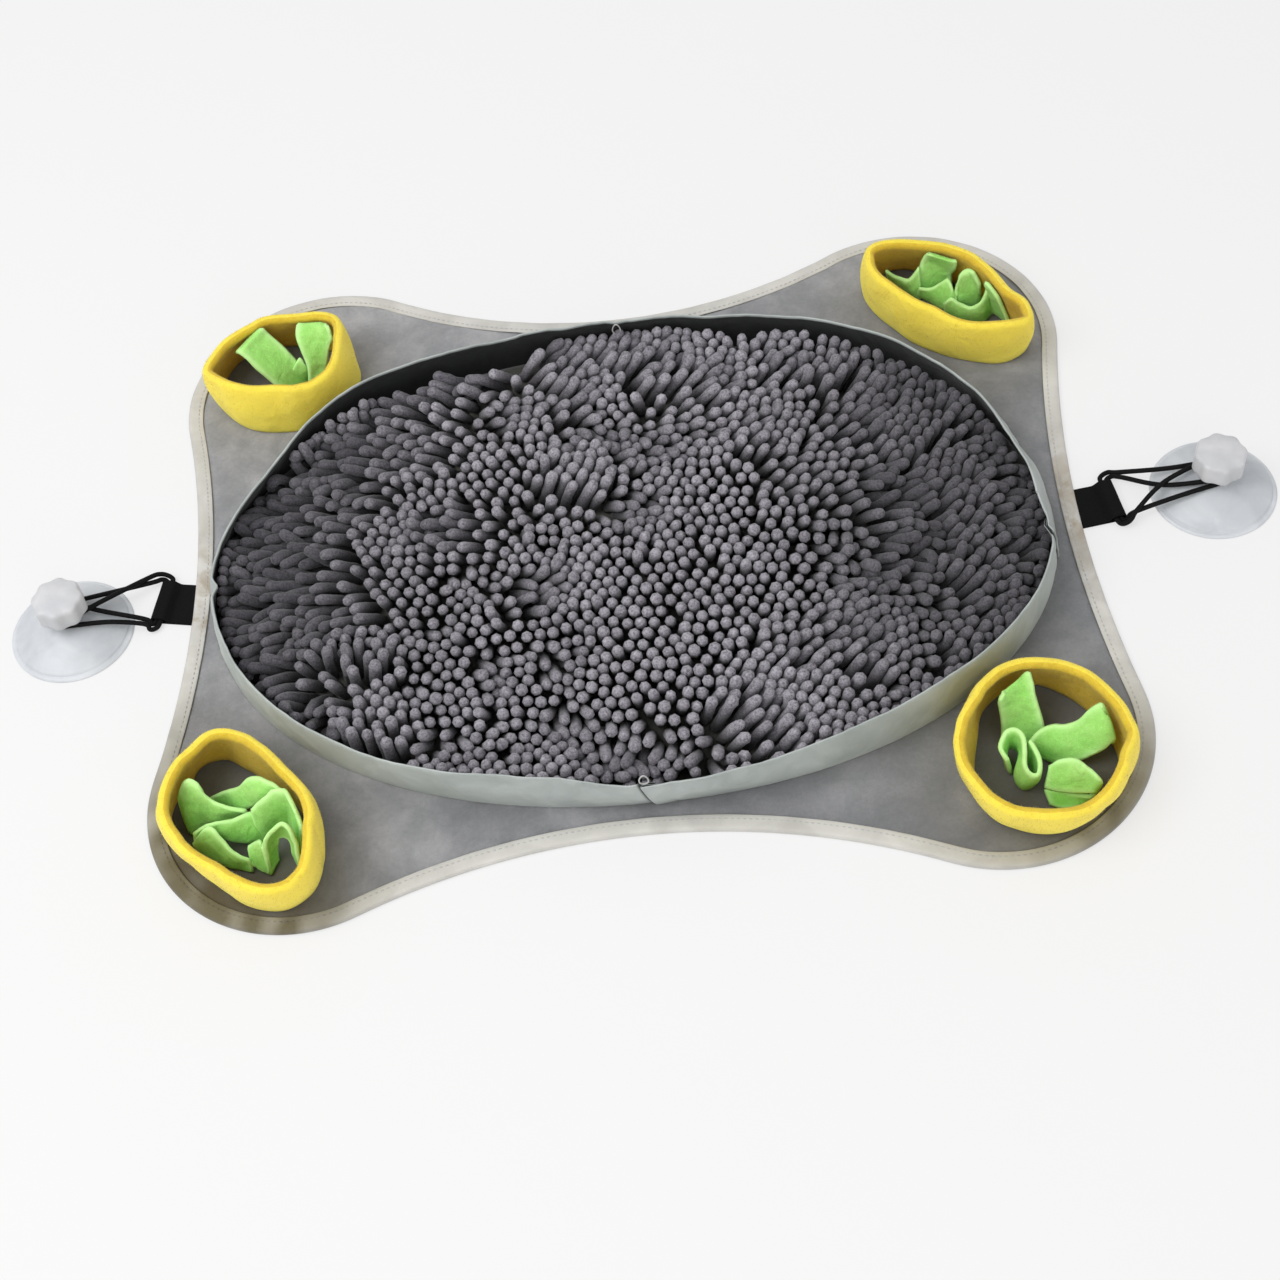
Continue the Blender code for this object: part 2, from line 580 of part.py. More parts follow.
def elastic_path(side):
    """One closed loop, doubled: twice through the tab's tunnel and twice round the cup's neck.

    Rows are the distance from the tunnel towards the neck, the distance across and the height. All
    strands climb along one slope; where two would meet, the upper one is lifted by a cord and a bit.
    """
    _, out, across, tunnel = side_frame(side)
    neck = np.array([side.cup_x, side.cup_y])
    length = np.linalg.norm(neck - tunnel)
    radius = NECK_RADIUS + GAP + CORD / 2
    bed = WEBBING + GAP + CORD / 2
    low = NECK_LOW + GAP + CORD / 2
    lift = CORD + 0.4
    run = lift / 2
    edge = TAB_WIDTH / 2
    cross = side.crossing * length

    def slope(distance, above=0.0):
        return bed + (low - bed) * min(distance / (length - radius), 1.0) + above

    def round_neck(spread, z):
        turns = np.linspace(-spread, spread, NECK_ROWS)
        return [(length + radius * np.cos(turn), radius * np.sin(turn), z) for turn in turns]

    steep = np.pi - np.arccos(radius / (length - cross))
    rows = [
        (-run, 6.0, bed), (-run, -6.0, bed), (-run, -edge - 0.6, bed), (0.6, -edge - 4.8, bed + 0.4),
        (5.6, -edge - 5.2, slope(5.6, 1.8)), (12.0, -edge + 0.2, slope(12.0, lift)),
        (cross, 0.0, slope(cross, lift + 0.3)),
    ]
    rows += reversed(round_neck(steep, low + lift))
    rows += [
        (cross, 0.0, slope(cross)), (10.0, edge + 0.4, slope(10.0)), (5.0, edge + 3.2, slope(3.0)),
        (run, edge + 0.6, bed), (run, 6.0, bed), (run, -6.0, bed), (run, -edge - 0.4, bed),
        (4.8, -edge - 2.6, slope(3.0)), (10.0, -edge + 0.8, slope(10.0)),
        (length * 0.6, -11.5, slope(length * 0.6)),
    ]
    rows += round_neck(np.pi / 2, low)
    rows += [
        (length * 0.6, 11.5, slope(length * 0.6)), (10.5, edge + 4.2, slope(10.5)),
        (4.6, edge + 7.4, slope(2.0)), (-0.6, edge + 5.2, bed), (-run, edge + 0.6, bed),
    ]
    rows = np.array(rows)
    share = np.clip(rows[:, :1] / (0.5 * length), 0, 1)
    forward = unit(neck - tunnel)
    sideways = np.array([-forward[1], forward[0]])
    way_out = out * (1 - share) + forward * share
    way_side = across * (1 - share) + sideways * share
    plan = tunnel + way_out * rows[:, :1] + way_side * rows[:, 1:2]
    return curve(np.column_stack([plan, rows[:, 2]]), CORD_STEPS * len(rows), closed=True)


def turned_rows(profile, steps, centre, lobe_depth=0.0):
    """Rings of a turned profile about the vertical through centre, lobed outside the nut's crown."""
    turns = np.arange(steps) * 2 * np.pi / steps
    round_way = np.stack([np.cos(turns), np.sin(turns)], axis=-1)
    ripple = lobe_depth * np.cos(NUT_LOBES * turns)
    rows = []
    for radius, z in profile:
        radii = radius + (ripple if radius > NUT_CROWN_RADIUS else 0.0) + np.zeros(steps)
        rows.append(at_height(np.array(centre) + radii[:, None] * round_way, z))
    return rows


def make_cup(side):
    """Suction cup: a hollow dome on a flat rim, a neck for the elastic and a stud for the nut."""
    loft("cup_" + side.name, turned_rows(CUP_PROFILE, CUP_STEPS, (side.cup_x, side.cup_y)), "cup")


def make_nut(side):
    """Lobed cap nut with a blind bore, its origin on the stud's axis."""
    bore = STUD_RADIUS + GAP
    profile = (
        Turned(bore, STUD_TOP + GAP), Turned(bore, NUT_LOW), Turned(NUT_RADIUS - 0.8, NUT_LOW),
        Turned(NUT_RADIUS, NUT_LOW + 0.8), Turned(NUT_RADIUS, NUT_HIGH - 1.4),
        Turned(NUT_RADIUS - 1.6, NUT_HIGH), Turned(NUT_CROWN_RADIUS, NUT_CROWN),
    )
    rows = turned_rows(profile, NUT_STEPS, (0.0, 0.0), NUT_LOBE_DEPTH)
    nut = loft("nut_" + side.name, rows, "nut")
    nut.location = (side.cup_x * MM, side.cup_y * MM, 0.0)


def make_mat():
    """Every piece of the mat."""
    for leftover in list(bpy.data.objects):
        bpy.data.objects.remove(leftover, do_unlink=True)
    make_base()
    make_binding()
    make_fence()
    make_dart_loops()
    make_pile()
    for ring in RINGS:
        make_ring(ring)
        for number, table in enumerate(STRIPS[ring.name], 1):
            make_strip(f"strip_{ring.name}_{number}", (ring.rim.x, ring.rim.y), table)
    for side in SIDES:
        make_tab(side)
        tube("elastic_" + side.name, elastic_path(side), CORD / 2, CORD_SIDES, "elastic")
        make_cup(side)
        make_nut(side)


make_mat()
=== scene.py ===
"""Looks of the snuffle mat: bound felt, an oval wall full of chenille pile, fleece rings and suction cups.

Sizes are in millimetres, and MM turns them into metres where a mesh is made. +X is right, +Y is the back
and +Z is up. A shape is a grid of points worked out with numpy, rows along one way and columns the other.
The rings, strips and patches of pile are read off the photo, in its pixels, each with its height.
seen_at turns a reading into millimetres along the camera's line of sight.
"""
from collections import namedtuple

import bmesh
import bpy
from mathutils import Matrix
import numpy as np


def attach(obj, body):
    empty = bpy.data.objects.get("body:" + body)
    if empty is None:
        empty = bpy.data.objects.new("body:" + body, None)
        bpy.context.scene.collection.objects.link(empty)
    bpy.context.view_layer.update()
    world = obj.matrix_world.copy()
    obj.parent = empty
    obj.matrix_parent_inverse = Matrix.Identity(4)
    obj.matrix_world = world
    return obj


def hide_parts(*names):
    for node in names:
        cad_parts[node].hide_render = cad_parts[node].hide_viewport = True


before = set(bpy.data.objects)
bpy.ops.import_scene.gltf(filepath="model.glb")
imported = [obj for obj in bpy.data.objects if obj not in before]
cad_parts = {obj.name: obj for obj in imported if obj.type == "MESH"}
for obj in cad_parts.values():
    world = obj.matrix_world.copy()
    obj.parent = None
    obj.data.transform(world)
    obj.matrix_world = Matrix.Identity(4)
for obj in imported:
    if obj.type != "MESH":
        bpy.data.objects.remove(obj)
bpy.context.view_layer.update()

MM = 0.001
GAP = 0.3                       # clear space between sewn or fitted neighbours

# ---- camera that took the photo, in degrees and millimetres
IMAGE = 1280                    # width and height of the photo in pixels
AIM = (1.4336, -67.98336)       # the floor point that the camera looks at
CAMERA_DISTANCE = 1259.75552
CAMERA_YAW = 3.51
CAMERA_ELEVATION = 54.59
CAMERA_ROLL = -8.27
LENS, SENSOR = 56.896875, 36.0

# ---- mat and binding
FELT_TOP = 3.0
RIM_LOW, RIM_HIGH = 1.1, 2.5
TAPE = 0.8
TAPE_WIDTH = 10.0
TAPE_TOP = RIM_HIGH + GAP + TAPE
Corner = namedtuple("Corner", "x y radius")
CORNERS = (
    Corner(200.0, 160.0, 99.0),
    Corner(-200.0, 157.0, 99.0),
    Corner(-209.0, -160.0, 92.0),
    Corner(207.0, -158.0, 94.0),
)
HOLLOW_RADII = (313.0, 669.0, 421.0, 790.0)
ARC_STEPS = 60
PANEL_STEPS = 150
STITCH_PITCH, STITCH_LENGTH, STITCH_RADIUS = 3.6, 2.6, 0.36
STITCH_SIDES = 5

Soil = namedtuple("Soil", "x y spread share")
SOIL = (
    Soil(-285, -220, 68, 1.0), Soil(-210, -255, 45, 0.6), Soil(262, -228, 60, 0.75),
    Soil(-297, -120, 45, 0.3),
)

# ---- oval wall
FOOT = FELT_TOP + GAP
WALL_TOP = 42.0
WALL_THICK = 1.8
WALL_BULGE = 1.5
Level = namedtuple("Level", "share thick")      # share of the wall's height, and of its thickness there
WALL_LEVELS = (
    Level(0.0, 1.1), Level(0.03, 1.0), Level(0.12, 0.9), Level(0.25, 0.9), Level(0.4, 0.9),
    Level(0.55, 0.9), Level(0.7, 0.9), Level(0.82, 0.95), Level(0.9, 1.1), Level(0.95, 1.1),
    Level(0.98, 0.9), Level(0.995, 0.5),
)
WALL_COLUMNS = 900
WALL_MEAN_RADIUS = 225.0
Oval = namedtuple("Oval", "x y long short power")
WALL_FOOT = Oval(0.0, -5.0, 268.0, 182.0, 2.1)
WALL_RIM = Oval(-1.6, -13.1, 258.7, 181.0, 2.13)
Wave = namedtuple("Wave", "angle out")
WALL_WAVES = (
    Wave(0, -3.0), Wave(11, -5.5), Wave(22, 0.0), Wave(42, 6.0), Wave(75, -1.0), Wave(115, -2.0),
    Wave(140, 4.0), Wave(162, -9.0), Wave(183, 1.0), Wave(225, 0.0), Wave(250, -4.0), Wave(271, 5.0),
    Wave(318, -3.0), Wave(350.5, 5.0),
)
Dart = namedtuple("Dart", "angle depth half_width")
WALL_DARTS = (Dart(89, 2.0, 8.0), Dart(183, 4.0, 8.0), Dart(270.5, 1.0, 9.0), Dart(353.8, 2.5, 9.0))
Pleat = namedtuple("Pleat", "angle slant")      # slant: how far the fold's edge moves along, rim to foot
WALL_PLEATS = (Pleat(271.3, 5.5), Pleat(353.8, 2.0))
# dark in a Turn is painted shadow in and beside the pleat's fold
Turn = namedtuple("Turn", "along out thick dark")   # line of a pleat in plan, which doubles back twice
PLEAT_LINE = (
    Turn(-14.0, 0.0, 1.0, 0), Turn(-8.4, -0.3, 0.8, 0), Turn(-6.4, -0.6, 0.65, 0.9),
    Turn(0.0, -0.8, 0.65, 1), Turn(3.6, -0.85, 0.6, 1), Turn(4.6, -0.55, 0.35, 1), Turn(4.0, -0.1, 0.2, 1),
    Turn(0.0, 0.1, 0.2, 1), Turn(-4.0, 0.5, 0.2, 1), Turn(-5.1, 1.2, 0.35, 0.5), Turn(-4.4, 2.1, 0.65, 0),
    Turn(0.0, 1.5, 0.7, 0), Turn(7.0, 0.5, 0.9, 0), Turn(14.0, 0.0, 1.0, 0),
)

# ---- pile
FINGER_PITCH = 9.3
FINGER_RADIUS = 3.65
BEADS = 8                       # a finger is settled as a chain of beads
BEAD_STEP = 3.9
FINGER_SIDES = 7
PATCH_SPREAD = 14.0             # how far a patch's lean carries
LYING_REACH = 15.0              # fingers that lie towards the wall are rooted this far from it
LOWEST_BEAD = FELT_TOP + 2.5
ROOT_SHAKE = 1.5                # most that a root stands off its lattice
PUSHES = 48                     # rounds in which the beads push each other apart
PILE_PIECES = 4
Lean = namedtuple("Lean", "x y heading tilt")
UPRIGHT = Lean(0, 0, 267, 33)   # lean of the pile between the patches
Patch = namedtuple("Patch", "pixel_x pixel_y way tilt")     # way: where its fingers point in the photo
PATCH_HEIGHT = 24.0             # the patches are read at this height
HEADING_STEP = 3.0
NEARER = 0.15                   # what a finger's seen length counts for against its seen direction
PILE_EDGE = (
    Wave(0, 0.0), Wave(14, 5.0), Wave(38, 8.0), Wave(70, 2.0), Wave(95, 1.0), Wave(137, 9.0),
    Wave(172, 1.0),
)
PATCHES = (
    Patch(250, 600, 200, 72), Patch(245, 520, 180, 75), Patch(270, 660, 210, 68),
    Patch(300, 500, 180, 75), Patch(310, 560, 185, 70), Patch(335, 620, 200, 60),
    Patch(330, 690, 215, 60), Patch(290, 450, 135, 55), Patch(340, 420, 120, 40),
    Patch(370, 450, 185, 65), Patch(350, 490, 190, 55), Patch(390, 395, 175, 70),
    Patch(445, 380, 178, 70), Patch(485, 360, 200, 70), Patch(540, 350, 30, 65), Patch(600, 350, 35, 68),
    Patch(560, 390, 20, 55), Patch(500, 400, -30, 55), Patch(430, 435, 185, 55),
    Patch(590, 425, -40, 60), Patch(565, 475, 60, 40), Patch(635, 440, -20, 60),
    Patch(625, 500, -15, 58), Patch(455, 520, 190, 60), Patch(540, 525, -50, 45),
    Patch(470, 570, -40, 50), Patch(530, 580, -5, 55), Patch(440, 625, -50, 45),
    Patch(430, 685, -30, 45), Patch(490, 660, -35, 50), Patch(375, 725, 90, 5), Patch(350, 665, 80, 20),
    Patch(445, 740, -50, 50), Patch(510, 735, -50, 48), Patch(560, 715, -45, 58),
    Patch(555, 650, -30, 50), Patch(615, 745, 270, 62), Patch(650, 360, 35, 68), Patch(700, 380, 25, 60),
    Patch(680, 430, 0, 50), Patch(745, 420, 20, 50), Patch(765, 365, 40, 58), Patch(830, 360, 50, 45),
    Patch(890, 380, 45, 50), Patch(850, 420, 35, 52), Patch(800, 460, 20, 40), Patch(940, 400, 40, 50),
    Patch(905, 450, 60, 40), Patch(965, 440, 10, 55), Patch(1005, 475, -10, 60), Patch(930, 500, 45, 50),
    Patch(1015, 535, -10, 65), Patch(1015, 575, -30, 60), Patch(960, 560, 40, 45),
    Patch(865, 485, 5, 60), Patch(838, 525, -60, 50), Patch(885, 540, 0, 65), Patch(850, 570, -35, 60),
    Patch(905, 590, -45, 50), Patch(825, 625, 30, 55), Patch(865, 645, 40, 55), Patch(780, 660, 35, 50),
    Patch(740, 705, 45, 50), Patch(700, 745, 270, 55), Patch(785, 725, 40, 50), Patch(650, 755, 265, 60),
    Patch(905, 650, 270, 45), Patch(945, 640, 20, 40), Patch(975, 610, 30, 50),
)

# ---- rings and strips
RING_COLUMNS = 240
RING_TOP = 47.0
RING_WALL = 6.8
RING_BELLY = 2.5
READ_RIM = 46.0                 # height of the rims where they are read
Spot = namedtuple("Spot", "rim_x rim_y foot_x foot_y")      # middle of the band, in pixels
Ring = namedtuple("Ring", "x y spots")                      # centre in millimetres
RINGS = {
    "back_left": Ring(-229, 161, (
        Spot(206, 369, 222, 398), Spot(216, 355, 222, 382), Spot(230, 341, 232, 366),
        Spot(246, 329, 247, 354), Spot(262, 321, 266, 347), Spot(281, 317, 287, 344),
        Spot(301, 316, 308, 344), Spot(320, 315, 327, 347), Spot(333, 320, 343, 355),
        Spot(337, 334, 354, 370), Spot(335, 352, 357, 383), Spot(328, 367, 347, 399),
        Spot(315, 377, 332, 413), Spot(300, 384, 315, 423), Spot(280, 387, 294, 429),
        Spot(255, 386, 268, 429), Spot(232, 382, 249, 425), Spot(214, 376, 233, 413),
    )),
    "back_right": Ring(226, 168, (
        Spot(869, 252, 868, 284), Spot(878, 246, 876, 274), Spot(900, 243, 897, 267),
        Spot(925, 244, 922, 269), Spot(950, 249, 948, 277), Spot(972, 255, 971, 289),
        Spot(990, 270, 990, 303), Spot(1006, 288, 1007, 317), Spot(1022, 300, 1021, 331),
        Spot(1027, 315, 1022, 346), Spot(1014, 322, 1012, 355), Spot(992, 324, 995, 361),
        Spot(968, 322, 969, 358), Spot(945, 314, 943, 351), Spot(922, 302, 917, 341),
        Spot(900, 290, 897, 328), Spot(882, 278, 880, 314), Spot(871, 264, 869, 299),
    )),
    "front_left": Ring(-231, -191, (
        Spot(162, 808, 167, 822), Spot(167, 778, 174, 800), Spot(177, 761, 187, 785),
        Spot(193, 749, 195, 770), Spot(210, 736, 208, 760), Spot(227, 732, 229, 757),
        Spot(245, 738, 248, 766), Spot(262, 752, 266, 777), Spot(280, 768, 285, 790),
        Spot(297, 786, 303, 806), Spot(307, 812, 314, 831), Spot(308, 842, 319, 858),
        Spot(303, 868, 313, 884), Spot(289, 882, 299, 899), Spot(268, 886, 279, 907),
        Spot(245, 883, 253, 902), Spot(220, 872, 231, 889), Spot(198, 859, 208, 871),
        Spot(177, 842, 184, 849),
    )),
    "front_right": Ring(228, -192, (
        Spot(957, 750, 970, 762), Spot(962, 722, 973, 738), Spot(973, 699, 978, 714),
        Spot(990, 680, 993, 695), Spot(1010, 667, 1012, 684), Spot(1035, 661, 1038, 681),
        Spot(1062, 664, 1063, 692), Spot(1087, 673, 1085, 705), Spot(1107, 689, 1103, 722),
        Spot(1124, 711, 1117, 745), Spot(1132, 730, 1123, 764), Spot(1129, 750, 1119, 779),
        Spot(1118, 778, 1108, 797), Spot(1101, 799, 1086, 813), Spot(1078, 810, 1064, 824),
        Spot(1052, 813, 1040, 828), Spot(1025, 811, 1018, 824), Spot(1001, 803, 998, 813),
        Spot(980, 786, 982, 797), Spot(965, 768, 972, 779),
    )),
}
Crease = namedtuple("Crease", "pitch depth")                # depth is each way, in or out
RING_CREASES = (Crease(48.0, 0.9), Crease(19.0, 0.25))
RING_FOLD = Crease(70.0, 0.8)                               # sharp, and inwards only
RING_SAG = Crease(60.0, 1.2)                                # of the rim, up or down
RING_MEAN_SAG = 0.9
FIBRES = 3000                   # loose fibres on a ring
FIBRE_RADIUS = 0.09
FIBRE_LENGTHS = (0.6, 1.5)
STRIP_THICK = 2.7
STRIP_ROWS, STRIP_COLUMNS = 44, 10
STRIP_CUP = 1.1
STRIP_RIPPLES = (Crease(22.0, 0.6), Crease(9.0, 0.25))
Row = namedtuple("Row", "edge_x edge_y edge_z other_x other_y other_z")     # x and y in pixels
STRIPS = {
    "back_left": (
        (Row(292, 400, 5, 308, 380, 5), Row(284, 392, 11, 303, 371, 13), Row(271, 380, 21, 293, 358, 23),
         Row(258, 369, 29, 280, 346, 31), Row(246, 358, 37, 268, 335, 39),
         Row(239, 352, 41, 261, 329, 44), Row(237, 353, 37, 258, 330, 40)),
        (Row(310, 390, 5, 326, 388, 5), Row(309, 378, 13, 325, 372, 14), Row(308, 365, 22, 327, 358, 24),
         Row(303, 351, 31, 329, 346, 32), Row(298, 337, 39, 332, 335, 38),
         Row(298, 326, 43, 331, 323, 43), Row(300, 325, 39, 329, 322, 39)),
        (Row(283, 383, 9, 286, 379, 13), Row(290, 385, 7, 292, 370, 18), Row(298, 384, 6, 299, 359, 25),
         Row(306, 380, 7, 304, 364, 22), Row(312, 375, 8, 309, 370, 15)),
    ),
    "back_right": (
        (Row(889, 277, 16, 886, 270, 26), Row(897, 284, 11, 896, 277, 21),
         Row(907, 290, 8, 905, 280, 19), Row(915, 295, 6, 912, 277, 21), Row(921, 297, 6, 919, 267, 27)),
        (Row(918, 294, 6, 952, 291, 6), Row(917, 284, 13, 951, 282, 13), Row(919, 272, 21, 951, 272, 21),
         Row(922, 260, 30, 955, 262, 30), Row(926, 254, 37, 957, 254, 37),
         Row(928, 250, 40, 957, 250, 40), Row(930, 252, 37, 955, 252, 37)),
        (Row(918, 295, 7, 920, 289, 15), Row(928, 301, 5, 930, 290, 16), Row(937, 306, 5, 939, 285, 20),
         Row(946, 310, 5, 948, 281, 24), Row(953, 311, 5, 953, 290, 20), Row(957, 309, 5, 956, 299, 14)),
        (Row(955, 304, 6, 955, 296, 16), Row(959, 305, 6, 957, 284, 26), Row(963, 306, 6, 961, 274, 33),
         Row(971, 306, 6, 969, 269, 37), Row(978, 303, 7, 979, 271, 37), Row(983, 298, 8, 985, 281, 30)),
        (Row(945, 311, 5, 945, 303, 14), Row(953, 315, 5, 951, 300, 18), Row(963, 319, 5, 960, 306, 16),
         Row(974, 320, 5, 970, 309, 16), Row(984, 319, 5, 980, 304, 20), Row(989, 315, 6, 985, 293, 28),
         Row(993, 313, 7, 988, 287, 33)),
    ),
    "front_left": (
        (Row(186, 822, 8, 178, 797, 24), Row(191, 833, 6, 181, 785, 34), Row(197, 830, 8, 189, 780, 39),
         Row(205, 825, 10, 197, 784, 37), Row(214, 823, 11, 204, 794, 31),
         Row(224, 821, 12, 213, 802, 27), Row(235, 817, 13, 228, 807, 24),
         Row(247, 813, 14, 245, 810, 21)),
        (Row(194, 838, 18, 193, 832, 24), Row(203, 832, 20, 206, 823, 28),
         Row(214, 831, 18, 218, 822, 27), Row(228, 838, 14, 230, 820, 25),
         Row(243, 841, 10, 243, 813, 24), Row(258, 840, 8, 253, 812, 22), Row(267, 836, 7, 260, 812, 20)),
        (Row(193, 846, 14, 196, 839, 20), Row(200, 852, 9, 204, 831, 29), Row(209, 858, 6, 213, 831, 30),
         Row(220, 864, 5, 221, 840, 25), Row(232, 868, 5, 229, 850, 20), Row(244, 870, 5, 240, 856, 16),
         Row(252, 871, 5, 249, 860, 13)),
        (Row(252, 864, 9, 249, 848, 15), Row(259, 869, 6, 255, 844, 19), Row(265, 872, 5, 260, 843, 21),
         Row(270, 874, 5, 264, 849, 19)),
        (Row(214, 804, 8, 210, 795, 15), Row(226, 807, 9, 224, 790, 20), Row(238, 807, 13, 236, 786, 28),
         Row(248, 805, 19, 245, 778, 36), Row(259, 801, 25, 256, 775, 40),
         Row(270, 797, 29, 269, 780, 40), Row(281, 796, 30, 280, 788, 38)),
        (Row(258, 839, 6, 251, 809, 26), Row(266, 837, 6, 258, 803, 31), Row(273, 834, 6, 266, 796, 36),
         Row(281, 829, 7, 277, 790, 40), Row(289, 827, 8, 288, 791, 40), Row(295, 833, 9, 295, 800, 37),
         Row(298, 843, 9, 299, 815, 32), Row(300, 851, 9, 301, 828, 28)),
        (Row(270, 873, 5, 278, 860, 5), Row(266, 858, 14, 276, 849, 10), Row(266, 843, 24, 277, 841, 16),
         Row(272, 830, 32, 280, 837, 20), Row(281, 823, 36, 286, 836, 22),
         Row(290, 828, 34, 291, 839, 20), Row(296, 842, 27, 294, 846, 15),
         Row(300, 858, 16, 296, 853, 10), Row(301, 870, 8, 297, 860, 5)),
    ),
    "front_right": (
        (Row(1003, 740, 8, 1040, 740, 8), Row(1003, 729, 13, 1043, 728, 13),
         Row(1003, 717, 19, 1041, 715, 20), Row(1001, 706, 26, 1037, 703, 27),
         Row(1000, 699, 32, 1034, 690, 34), Row(1000, 695, 36, 1031, 678, 40),
         Row(1003, 691, 38, 1028, 669, 43), Row(1006, 693, 34, 1028, 673, 39)),
        (Row(1036, 745, 12, 1030, 739, 20), Row(1042, 753, 10, 1040, 729, 22),
         Row(1052, 758, 10, 1052, 723, 24), Row(1066, 758, 12, 1066, 722, 26),
         Row(1080, 755, 16, 1079, 717, 30), Row(1093, 750, 21, 1090, 707, 37),
         Row(1105, 743, 25, 1099, 701, 42), Row(1114, 736, 28, 1106, 700, 43),
         Row(1116, 738, 23, 1111, 704, 38)),
        (Row(1046, 787, 11, 1050, 766, 20), Row(1060, 790, 13, 1060, 761, 25),
         Row(1074, 792, 15, 1074, 760, 28), Row(1086, 792, 17, 1087, 768, 27),
         Row(1095, 791, 18, 1099, 779, 26), Row(1099, 795, 12, 1105, 787, 19),
         Row(1094, 800, 6, 1101, 796, 11), Row(1080, 806, 5, 1078, 794, 10),
         Row(1064, 808, 5, 1062, 792, 9), Row(1050, 804, 5, 1046, 791, 9)),
        (Row(1012, 773, 5, 1007, 760, 24), Row(1006, 765, 6, 1001, 748, 28),
         Row(1006, 753, 8, 1004, 736, 31), Row(1013, 749, 9, 1013, 731, 32),
         Row(1019, 757, 8, 1021, 737, 32), Row(1018, 769, 7, 1024, 751, 30),
         Row(1016, 780, 5, 1024, 764, 26), Row(1024, 789, 5, 1031, 774, 22),
         Row(1033, 787, 6, 1039, 774, 22), Row(1037, 779, 8, 1041, 763, 25),
         Row(1034, 769, 9, 1037, 750, 28), Row(1029, 761, 10, 1030, 741, 30)),
    ),
}
# the last rows of one strip are given in millimetres from its ring's centre and the floor
HandRow = namedtuple("HandRow", "edge_x edge_y edge_z other_x other_y other_z")
HAND_ROWS = {
    "strip_back_right_5": (
        HandRow(36, 1, 8, 31, 4, 37), HandRow(39, -4, 8, 37, 1, 38), HandRow(41, -9, 8, 40, -4, 36),
        HandRow(42, -12, 8, 41, -8, 33),
    ),
}

# ---- tabs, elastics, cups and nuts
WEBBING = 1.1
TAB_WIDTH = 30.0
TUNNEL = 3.8
TUNNEL_BACK = 5.0
CORD = 2.8
BRAID_SWELL = 1.12             # the braid stands a little proud of the cord
NECK_ROWS = 9
Side = namedtuple("Side", "name way root_y heading reach cup_x cup_y crossing")
SIDES = (
    Side("left", -1, -8.5, 169.0, 25.0, -361.5, -19.5, 0.70),
    Side("right", 1, 0.5, 8.0, 27.0, 372.5, 6.5, 0.50),
)
CUP_RADIUS = 39.8
NECK_RADIUS = 7.6
NECK_LOW, NECK_HIGH = 16.6, 23.2
STUD_RADIUS, STUD_TOP = 4.0, 34.0
NUT_LOW, NUT_HIGH = NECK_HIGH + GAP, 37.6
NUT_CROWN, NUT_CROWN_RADIUS = 39.0, 6.0
NUT_RADIUS = 15.8
NUT_LOBES, NUT_LOBE_DEPTH = 8, 0.7
LOOP_THREAD = 0.9
LOOP_LONG, LOOP_SHORT = 4.4, 2.6
LOOP_STEPS, LOOP_SIDES = 28, 8
CUP_SIDES, NUT_SIDES = 96, 128

# ---- light, in metres and watts
Lamp = namedtuple("Lamp", "name place size power")
LAMPS = (Lamp("key", (-1.1, -0.5, 1.9), 1.6, 30.0), Lamp("fill", (0.4, -1.8, 0.9), 1.6, 7.5))
SURROUND = 0.77
FLOOR_SHADE, FLOOR_GLOW = 0.25, 0.6


# ---- grids and meshes

def unit(vectors):
    """The vectors at length 1."""
    return vectors / np.maximum(np.linalg.norm(vectors, axis=-1, keepdims=True), 1e-9)


def heading_vector(degrees):
    """Unit vectors in plan that point along the headings."""
    angle = np.radians(degrees)
    return np.stack([np.cos(angle), np.sin(angle)], axis=-1)


def at_height(plan, z):
    """Plan points lifted to height z."""
    z = np.broadcast_to(z, plan.shape[:-1])
    return np.concatenate([plan, z[..., None]], axis=-1)


def camera_axes():
    """Right, up and backward ways of the camera, turned by yaw, elevation and roll."""
    yaw, elevation, roll = np.radians([CAMERA_YAW, CAMERA_ELEVATION, CAMERA_ROLL])
    back = np.array([np.sin(yaw) * np.cos(elevation), -np.cos(yaw) * np.cos(elevation), np.sin(elevation)])
    right = unit(np.cross(-back, [0, 0, 1]))
    up = np.cross(right, -back)
    turned_right = np.cos(roll) * right + np.sin(roll) * up
    turned_up = -np.sin(roll) * right + np.cos(roll) * up
    return turned_right, turned_up, back


def seen_at(pixels, height):
    """Plan place of pixels of the photo, in whole millimetres.

    The line of sight leaves the camera through the pixel and is cut where it comes down to the height.
    """
    right, up, back = camera_axes()
    eye = np.array([*AIM, 0.0]) + back * CAMERA_DISTANCE
    aside = np.asarray(pixels, float) - IMAGE / 2
    sight = aside[..., :1] * right - aside[..., 1:] * up - back * LENS / SENSOR * IMAGE
    far = (height - eye[2]) / sight[..., 2]
    return np.round((eye + sight * far[..., None])[..., :2])


def between(before, first, second, after, share):
    """Catmull-Rom point at a share of the way from first to second, with their neighbours on each side."""
    slope_1 = (second - before) / 2
    slope_2 = (after - first) / 2
    cubic = 2 * (first - second) + slope_1 + slope_2
    square = 3 * (second - first) - 2 * slope_1 - slope_2
    return ((cubic * share + square) * share + slope_1) * share + first


